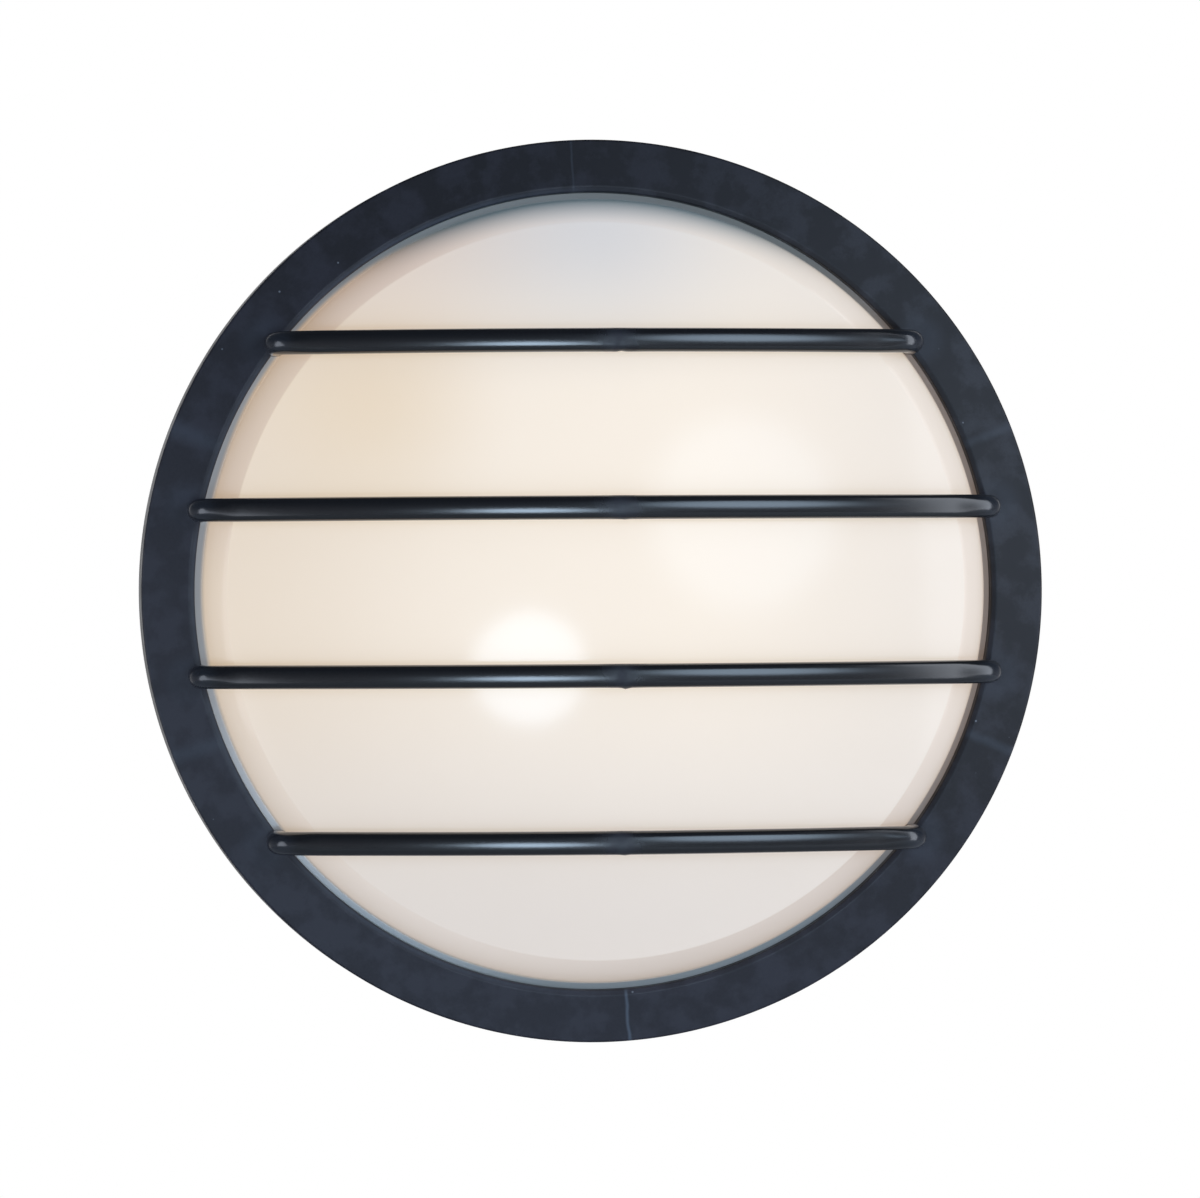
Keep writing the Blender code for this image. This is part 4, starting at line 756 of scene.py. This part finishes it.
def make_painted_foot_highlight():
    """A soft painted highlight beside each foot of the bars.

    The distance to the nearest foot is taken in the first quadrant, because the feet mirror in both
    axes; the patch lies a little further out than the foot.
    """
    group, given, out = new_group(
        "painted_foot_highlight", [("Near", "Float", 0.0035), ("Far", "Float", 0.0095)], [("Mask", "Float")]
    )
    place = add(group, "ShaderNodeTexCoord").outputs["Object"]
    axes = add(group, "ShaderNodeSeparateXYZ", {"Vector": place}).outputs
    x = maths(group, "ABSOLUTE", axes["X"])
    z = maths(group, "ABSOLUTE", axes["Z"])
    nearest = None
    for height in BAR_HEIGHTS[:2]:
        foot = math.sqrt(BAR_FOOT_R ** 2 - height ** 2)
        dx = maths(group, "SUBTRACT", x, foot + 0.0030)
        dz = maths(group, "SUBTRACT", z, height + 0.0010)
        squares = maths(group, "ADD", product(group, dx, dx), product(group, dz, dz))
        away = maths(group, "SQRT", squares)
        nearest = away if nearest is None else maths(group, "MINIMUM", nearest, away)
    group.links.new(ramp(group, nearest, given["Far"], given["Near"]), out["Mask"])
    return group


def axis_radius(tree):
    """The Object coordinates, and the distance from the light's axis: sqrt(x^2 + z^2)."""
    place = add(tree, "ShaderNodeTexCoord").outputs["Object"]
    axes = add(tree, "ShaderNodeSeparateXYZ", {"Vector": place}).outputs
    flat = add(tree, "ShaderNodeCombineXYZ", {"X": axes["X"], "Z": axes["Z"]}).outputs[0]
    return axes, add(tree, "ShaderNodeVectorMath", {0: flat}, operation="LENGTH").outputs["Value"]


def start_material(name, **values):
    """A new material; returns it with its tree and its Principled shader, whose constant sockets are set."""
    made = bpy.data.materials.new(name)
    made.use_nodes = True
    tree = made.node_tree
    shader = tree.nodes["Principled BSDF"]
    for key, value in values.items():
        shader.inputs[key.replace("_", " ")].default_value = value
    return made, tree, shader


def bump(tree, shader, height, strength, distance):
    """Feeds a height into the shader's normal."""
    made = add(tree, "ShaderNodeBump", {"Height": height, "Strength": strength, "Distance": distance})
    tree.links.new(made.outputs["Normal"], shader.inputs["Normal"])


def black_moulding(name, groups, face_marks):
    """Satin black weatherproof plastic with faint clouds and dust specks.

    The guard has moulding marks too, and painted light makes it paler towards its lower left.
    """
    made, tree, shader = start_material(
        name, IOR=1.50, Specular_IOR_Level=0.40, Coat_Roughness=0.20, Coat_IOR=1.50
    )
    grain = put(tree, groups["grain"], {"Cloud Size": 95.0, "Grain Size": 1300.0, "Speck Share": 0.05})
    cloud = ramp(tree, grain["Cloud"], 0.40, 0.62)
    shade = maths(tree, "ADD", product(tree, cloud, 0.6), product(tree, grain["Grain"], 0.4))
    if face_marks:
        axes, radius = axis_radius(tree)
        # Painted light: the guard is paler towards its lower left
        pale_and_painted_light = ramp(tree, maths(tree, "ADD", axes["X"], axes["Z"]), PAINTED_LIGHT_REACH, -PAINTED_LIGHT_REACH)
        shade = maths(tree, "ADD", product(tree, pale_and_painted_light, 0.70), maths(tree, "SUBTRACT", shade, 0.35))
    colour = mix(tree, shade, BLACK["deep"], BLACK["pale_and_painted_light"])
    rough = maths(tree, "SUBTRACT", 0.53, product(tree, cloud, 0.08))
    colour = mix(tree, product(tree, grain["Speck"], 0.6), colour, BLACK["dust"])
    if face_marks:
        colour, rough, gloss = bar_gloss(tree, axes, colour, rough)
        tree.links.new(gloss, shader.inputs["Coat Weight"])
        colour = ring_marks_and_painted_light(tree, groups, axes, radius, colour)
    tree.links.new(colour, shader.inputs["Base Color"])
    tree.links.new(rough, shader.inputs["Roughness"])
    bump(tree, shader, grain["Grain"], 0.12, 0.0001)
    return made


def bar_depth_mask(tree, axes):
    """1 on the bars and 0 on the ring, by the distance from the wall."""
    near, far = BAR_GLOSS_DEPTHS
    return ramp(tree, axes["Y"], -near, -far)


def bar_gloss(tree, axes, colour, rough):
    """Deeper black and gloss on the bars, save in a torn, paler patch at each gate."""
    on_bar = bar_depth_mask(tree, axes)
    near = maths(tree, "ABSOLUTE", maths(tree, "SUBTRACT", axes["X"], GATE_PATCH_X))
    place = add(tree, "ShaderNodeTexCoord").outputs["Object"]
    torn = add(tree, "ShaderNodeTexNoise", {"Vector": place, "Scale": 260.0, "Detail": 3.0}).outputs["Fac"]
    ragged = maths(tree, "ADD", near, product(tree, torn, GATE_PATCH_TEAR))
    gate = product(tree, ramp(tree, ragged, *GATE_PATCH_EDGES), on_bar)
    gloss = maths(tree, "SUBTRACT", on_bar, gate)
    rough = mix(tree, gloss, rough, BAR_ROUGHNESS)
    colour = mix(tree, gloss, colour, BLACK["bar"])
    mottled = product(tree, gate, ramp(tree, torn, 0.38, 0.66))
    return mix(tree, mottled, colour, BLACK["gate"]), rough, gloss


def ring_marks_and_painted_light(tree, groups, axes, radius, colour):
    """Painted light on the left of the lip, the weld lines, and a painted highlight beside each foot of the
    bars.
    """
    # Painted light: the lip is paler on its left
    lip = product(tree, ramp(tree, radius, *PAINTED_LIP_LIGHT_EDGES), ramp(tree, axes["X"], 0.03, -0.06))
    lip = product(tree, lip, maths(tree, "SUBTRACT", 1.0, bar_depth_mask(tree, axes)))
    colour = mix(tree, product(tree, lip, 0.5), colour, BLACK["lip"])
    for angle, width, wave, share in WELD_LINES:
        line = put(tree, groups["weld"], {"Angle": math.radians(angle), "Width": width, "Wave": wave})
        colour = mix(tree, product(tree, line["Mask"], share), colour, BLACK["weld"])
    # Painted highlight: a paler, bluish patch beside each foot of the bars
    halo = put(tree, groups["halo"])["Mask"]
    return mix(tree, product(tree, halo, 0.22), colour, BLACK["halo"])


def opal(name, groups):
    """Opal plastic lit from behind: a glossy skin over a painted glow, and a flange painted grey as the
    shade under the ring's lip.

    At the upper left the painted shade of the flange begins a little further out.
    """
    made, tree, shader = start_material(
        name, IOR=1.49, Specular_IOR_Level=0.25, Roughness=0.11, Emission_Strength=1.0
    )
    axes, radius = axis_radius(tree)
    grain = put(tree, groups["grain"], {"Cloud Size": 12.0, "Grain Size": 900.0, "Speck Share": 0.0})
    tone = mix(tree, grain["Cloud"], (0.425, 0.42, 0.41), (0.465, 0.46, 0.45))
    # Painted shade: the flange's grey starts a little further out at the upper left
    corner = product(tree, ramp(tree, axes["X"], -0.03, -0.07), ramp(tree, axes["Z"], 0.03, 0.06))
    shifted = maths(tree, "SUBTRACT", radius, product(tree, corner, 0.0008))
    on_flange = ramp(tree, shifted, *FLANGE_EDGES)
    tree.links.new(mix(tree, on_flange, tone, FLANGE_PAINTED_SHADE), shader.inputs["Base Color"])
    glow = mix(tree, on_flange, dome_glow(tree, axes, radius), flange_glow(tree, axes))
    tree.links.new(glow, shader.inputs["Emission Color"])
    bump(tree, shader, grain["Cloud"], 0.02, 0.0003)
    return made


def dome_glow(tree, axes, radius):
    """Glow of the dome and its shoulder: the lamp's light through the opal, painted on as emission.

    It is amber on the left, deepest in a patch above, and paler on the right; it cools above and
    greys below, as painted shade. The shoulder outside the crease gets less of it the further it
    turns away, and least at the top, as painted shade, and is browner below on the right and above
    on the left.
    """
    x, z = axes["X"], axes["Z"]
    glow = mix(tree, ramp(tree, x, -0.112, -0.015), GLOW["left"], GLOW["middle"])
    glow = mix(tree, ramp(tree, x, 0.020, 0.110), glow, GLOW["right"])
    flat = add(tree, "ShaderNodeCombineXYZ", {"X": x, "Z": z}).outputs[0]
    middle, reach = AMBER_PATCH
    away = add(tree, "ShaderNodeVectorMath", {0: flat, 1: middle}, operation="DISTANCE").outputs["Value"]
    glow = mix(tree, product(tree, ramp(tree, away, reach, 0.0), 0.6), glow, GLOW["amber"])
    # Painted shade: greyer below
    glow = mix(tree, ramp(tree, z, -0.005, -0.100), glow, GLOW["low"])
    top = mix(tree, ramp(tree, x, -0.060, 0.000), GLOW["top left"], GLOW["top"])
    right = product(tree, ramp(tree, x, 0.000, 0.055), 0.6)
    above = product(tree, ramp(tree, z, 0.052, 0.105), maths(tree, "SUBTRACT", 1.0, right))
    # Painted shade: cooler and darker above
    glow = mix(tree, above, glow, top)
    shoulder = ramp(tree, radius, CREASE_R - 0.0001, CREASE_R + 0.0005)
    side = product(tree, ramp(tree, x, 0.0, 0.08), ramp(tree, z, 0.06, -0.02), 0.15)
    tint = product(tree, shoulder, maths(tree, "ADD", 0.09, side))
    glow = mix(tree, tint, glow, GLOW["shoulder"])
    under = product(tree, ramp(tree, z, -0.02, -0.08), ramp(tree, x, -0.06, 0.03), shoulder, 0.3)
    glow = mix(tree, under, glow, GLOW["low shoulder"])
    over = product(tree, ramp(tree, z, 0.0, 0.03), ramp(tree, x, -0.02, -0.06), shoulder, 0.22)
    glow = mix(tree, over, glow, GLOW["high shoulder"])
    # Painted shade: the shoulder darkens as it turns away, most at the top
    outward = ramp(tree, radius, *SHOULDER_EDGES, smooth=False)
    upper = maths(tree, "ADD", 0.10, product(tree, ramp(tree, z, 0.087, 0.109), 0.95))
    return mix(tree, product(tree, outward, upper), glow, GLOW["turned away"])


def flange_glow(tree, axes):
    """Faint painted glow of the flange: cool on the left, warmer on the right, with painted shade below and
    above.
    """
    glow = mix(tree, ramp(tree, axes["X"], -0.080, 0.080), GLOW["flange left"], GLOW["flange right"])
    # Painted shade on the flange below and above
    glow = mix(tree, ramp(tree, axes["Z"], -0.050, -0.100), glow, GLOW["flange low"])
    return mix(tree, ramp(tree, axes["Z"], 0.060, 0.100), glow, GLOW["flange high"])


def plain_finish(name, groups, light, dark, rough, spread=0.08, metallic=0.0, stretch=None,
                 relief=0.1, size=(60.0, 2500.0), **values):
    """Colour and gloss that drift between two values over the clouds of the grain, with a fine relief.

    A stretch draws the grain out along one axis, as on brushed steel.
    """
    made, tree, shader = start_material(name, Metallic=metallic, **values)
    grain = put(tree, groups["grain"], {"Cloud Size": size[0], "Grain Size": size[1], "Speck Share": 0.0})
    cloud = ramp(tree, grain["Cloud"], 0.30, 0.70)
    fine = grain["Grain"]
    if stretch is not None:
        place = add(tree, "ShaderNodeTexCoord").outputs["Object"]
        drawn = add(tree, "ShaderNodeMapping", {"Vector": place, "Scale": stretch}).outputs[0]
        brushed = add(tree, "ShaderNodeTexNoise", {"Vector": drawn, "Scale": 900.0, "Detail": 3.0})
        fine = brushed.outputs["Fac"]
        cloud = product(tree, maths(tree, "ADD", cloud, fine), 0.5)
    tree.links.new(mix(tree, cloud, dark, light), shader.inputs["Base Color"])
    low = rough - spread / 2
    tree.links.new(
        maths(tree, "ADD", low, product(tree, fine, spread)), shader.inputs["Roughness"]
    )
    bump(tree, shader, fine, relief, 0.0001)
    return made


def finish_all():
    """Makes every finish and gives it to the pieces and nodes that are made of it."""
    groups = {"grain": make_grain(), "weld": make_weld_line(), "halo": make_painted_foot_highlight()}
    lit = {"Emission_Color": (1.0, 0.86, 0.68, 1.0), "Emission_Strength": 0.6}
    finishes = {
        "guard_black": black_moulding("guard_black", groups, True),
        "housing_black": black_moulding("housing_black", groups, False),
        "opal_lens": opal("opal_lens", groups),
        "seal_rubber": plain_finish(
            "seal_rubber", groups, (0.032, 0.032, 0.033), (0.016, 0.016, 0.017), 0.72, relief=0.3
        ),
        "foam": plain_finish(
            "foam", groups, (0.085, 0.085, 0.088), (0.035, 0.035, 0.037), 0.95, relief=1.0,
            size=(300.0, 1400.0),
        ),
        "clip_steel": plain_finish(
            "clip_steel", groups, (0.66, 0.66, 0.65), (0.50, 0.50, 0.50), 0.30, 0.15, 1.0, (1.0, 1.0, 0.04)
        ),
        "screw_steel": plain_finish(
            "screw_steel", groups, (0.68, 0.67, 0.62), (0.48, 0.47, 0.43), 0.32, 0.15, 1.0
        ),
        "tray_white": plain_finish("tray_white", groups, (0.86, 0.86, 0.84), (0.79, 0.79, 0.77), 0.36),
        "zinc_plate": plain_finish(
            "zinc_plate", groups, (0.66, 0.66, 0.62), (0.46, 0.47, 0.46), 0.38, 0.15, 1.0,
            size=(220.0, 2500.0),
        ),
        "porcelain": plain_finish(
            "porcelain", groups, (0.86, 0.85, 0.81), (0.78, 0.77, 0.72), 0.16, 0.05, Coat_Weight=0.5
        ),
        "brass": plain_finish("brass", groups, (0.78, 0.60, 0.29), (0.55, 0.39, 0.17), 0.30, 0.15, 1.0),
        "lamp_white": plain_finish(
            "lamp_white", groups, (0.90, 0.89, 0.86), (0.84, 0.83, 0.80), 0.28, **lit
        ),
        "block_white": plain_finish("block_white", groups, (0.82, 0.82, 0.79), (0.72, 0.72, 0.69), 0.45),
        "wire_brown": plain_finish("wire_brown", groups, (0.19, 0.075, 0.03), (0.12, 0.045, 0.02), 0.48),
        "wire_blue": plain_finish("wire_blue", groups, (0.035, 0.16, 0.50), (0.022, 0.10, 0.34), 0.48),
        "wire_green": plain_finish("wire_green", groups, (0.12, 0.38, 0.06), (0.07, 0.26, 0.04), 0.48),
    }
    wanted = {row["node"]: row["material_slot"] for row in frame["record"]["subparts"]}
    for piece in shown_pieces():
        slot = piece.get("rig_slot") or wanted[piece["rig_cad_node"]]
        piece.data.materials.clear()
        piece.data.materials.append(finishes[slot])


def make_world():
    """White behind the light for the camera and for gloss; a plain, dim room everywhere else."""
    world = bpy.data.worlds.new("studio")
    bpy.context.scene.world = world
    world.use_nodes = True
    tree = world.node_tree
    rays = add(tree, "ShaderNodeLightPath").outputs
    way = add(tree, "ShaderNodeTexCoord").outputs["Generated"]
    axes = add(tree, "ShaderNodeSeparateXYZ", {"Vector": way}).outputs
    shine = maths(tree, "MAXIMUM", rays["Is Glossy Ray"], rays["Is Transmission Ray"])
    behind = ramp(tree, axes["Y"], 0.60, 0.85)
    white = maths(tree, "MAXIMUM", rays["Is Camera Ray"], product(tree, shine, behind))
    below = ramp(tree, axes["Z"], 0.45, -0.25)
    room = add(tree, "ShaderNodeBackground", {
        "Color": mix(tree, below, ROOM_ABOVE, ROOM_BELOW), "Strength": 1.0,
    })
    backdrop = add(tree, "ShaderNodeBackground", {"Color": (1.0, 1.0, 1.0, 1.0), "Strength": 1.0})
    blend = add(tree, "ShaderNodeMixShader", {0: white, 1: room.outputs[0], 2: backdrop.outputs[0]})
    tree.links.new(blend.outputs[0], tree.nodes["World Output"].inputs["Surface"])


def softbox(name, azimuth, elevation, distance, power, colour, width, height):
    """A round or oval studio light aimed at the object; azimuth is to the right of its front, in degrees."""
    lamp = bpy.data.lights.new(name, "AREA")
    lamp.shape = "ELLIPSE"
    lamp.size = width
    lamp.size_y = height
    lamp.energy = power
    lamp.color = colour
    made = bpy.data.objects.new(name, lamp)
    a, e = math.radians(azimuth), math.radians(elevation)
    way = Vector((math.sin(a) * math.cos(e), -math.cos(a) * math.cos(e), math.sin(e)))
    made.location = Vector((0.0, -FACE_DEPTH, 0.0)) + way * distance
    made.rotation_mode = "QUATERNION"
    made.rotation_quaternion = (-way).to_track_quat("-Z", "Y")
    bpy.context.scene.collection.objects.link(made)


def make_floor():
    """A plain pale floor well below the light, which hangs on its wall above it."""
    angle = np.linspace(0.0, 2 * math.pi, 96, endpoint=False)
    points = np.stack([np.cos(angle), np.sin(angle), np.zeros(96)], axis=-1)
    mesh = bpy.data.meshes.new("floor")
    mesh.from_pydata((points * FLOOR_R + np.array(FLOOR_PLACE)).tolist(), [], [list(range(96))])
    floor = bpy.data.objects.new("floor", mesh)
    bpy.context.scene.collection.objects.link(floor)
    made, tree, shader = start_material("floor_pale", Roughness=0.85, Emission_Strength=1.0)
    noise = add(tree, "ShaderNodeTexNoise", {"Scale": 3.0, "Detail": 2.0}).outputs["Fac"]
    tree.links.new(mix(tree, noise, (0.84, 0.84, 0.84), (0.88, 0.88, 0.88)), shader.inputs["Base Color"])
    seen = add(tree, "ShaderNodeLightPath").outputs["Is Camera Ray"]
    tree.links.new(mix(tree, seen, (0.0, 0.0, 0.0), FLOOR_SEEN), shader.inputs["Emission Color"])
    mesh.materials.append(made)


def make_camera():
    """A long lens in front of the light, a little to its left, with the picture's small roll."""
    centre = Vector((0.0, -FACE_DEPTH, 0.0))
    yaw, pitch, roll = [math.radians(turn) for turn in (CAMERA_YAW, CAMERA_PITCH, CAMERA_ROLL)]
    way = Vector((-math.sin(yaw) * math.cos(pitch), -math.cos(yaw) * math.cos(pitch), math.sin(pitch)))
    pixel = 2 * GUARD_R / RING_PIXELS
    turn = (-way).to_track_quat("-Z", "Y").to_matrix() @ Matrix.Rotation(-roll, 3, "Z")
    aim = centre + turn @ Vector((AIM_PIXELS[0] * pixel, AIM_PIXELS[1] * pixel, 0.0))
    data = bpy.data.cameras.new("view")
    data.lens = SENSOR_WIDTH * CAMERA_DISTANCE / (PICTURE_PIXELS * pixel)
    camera = bpy.data.objects.new("view", data)
    camera.location = aim + way * CAMERA_DISTANCE
    camera.rotation_mode = "QUATERNION"
    camera.rotation_quaternion = turn.to_quaternion()
    bpy.context.scene.collection.objects.link(camera)
    bpy.context.scene.camera = camera


make_guard()
make_lens()
make_housing()
make_seals()
finish_all()
make_world()
make_floor()
for row in LAMPS:
    softbox(*row)
make_camera()
bpy.context.scene.view_settings.view_transform = "Standard"
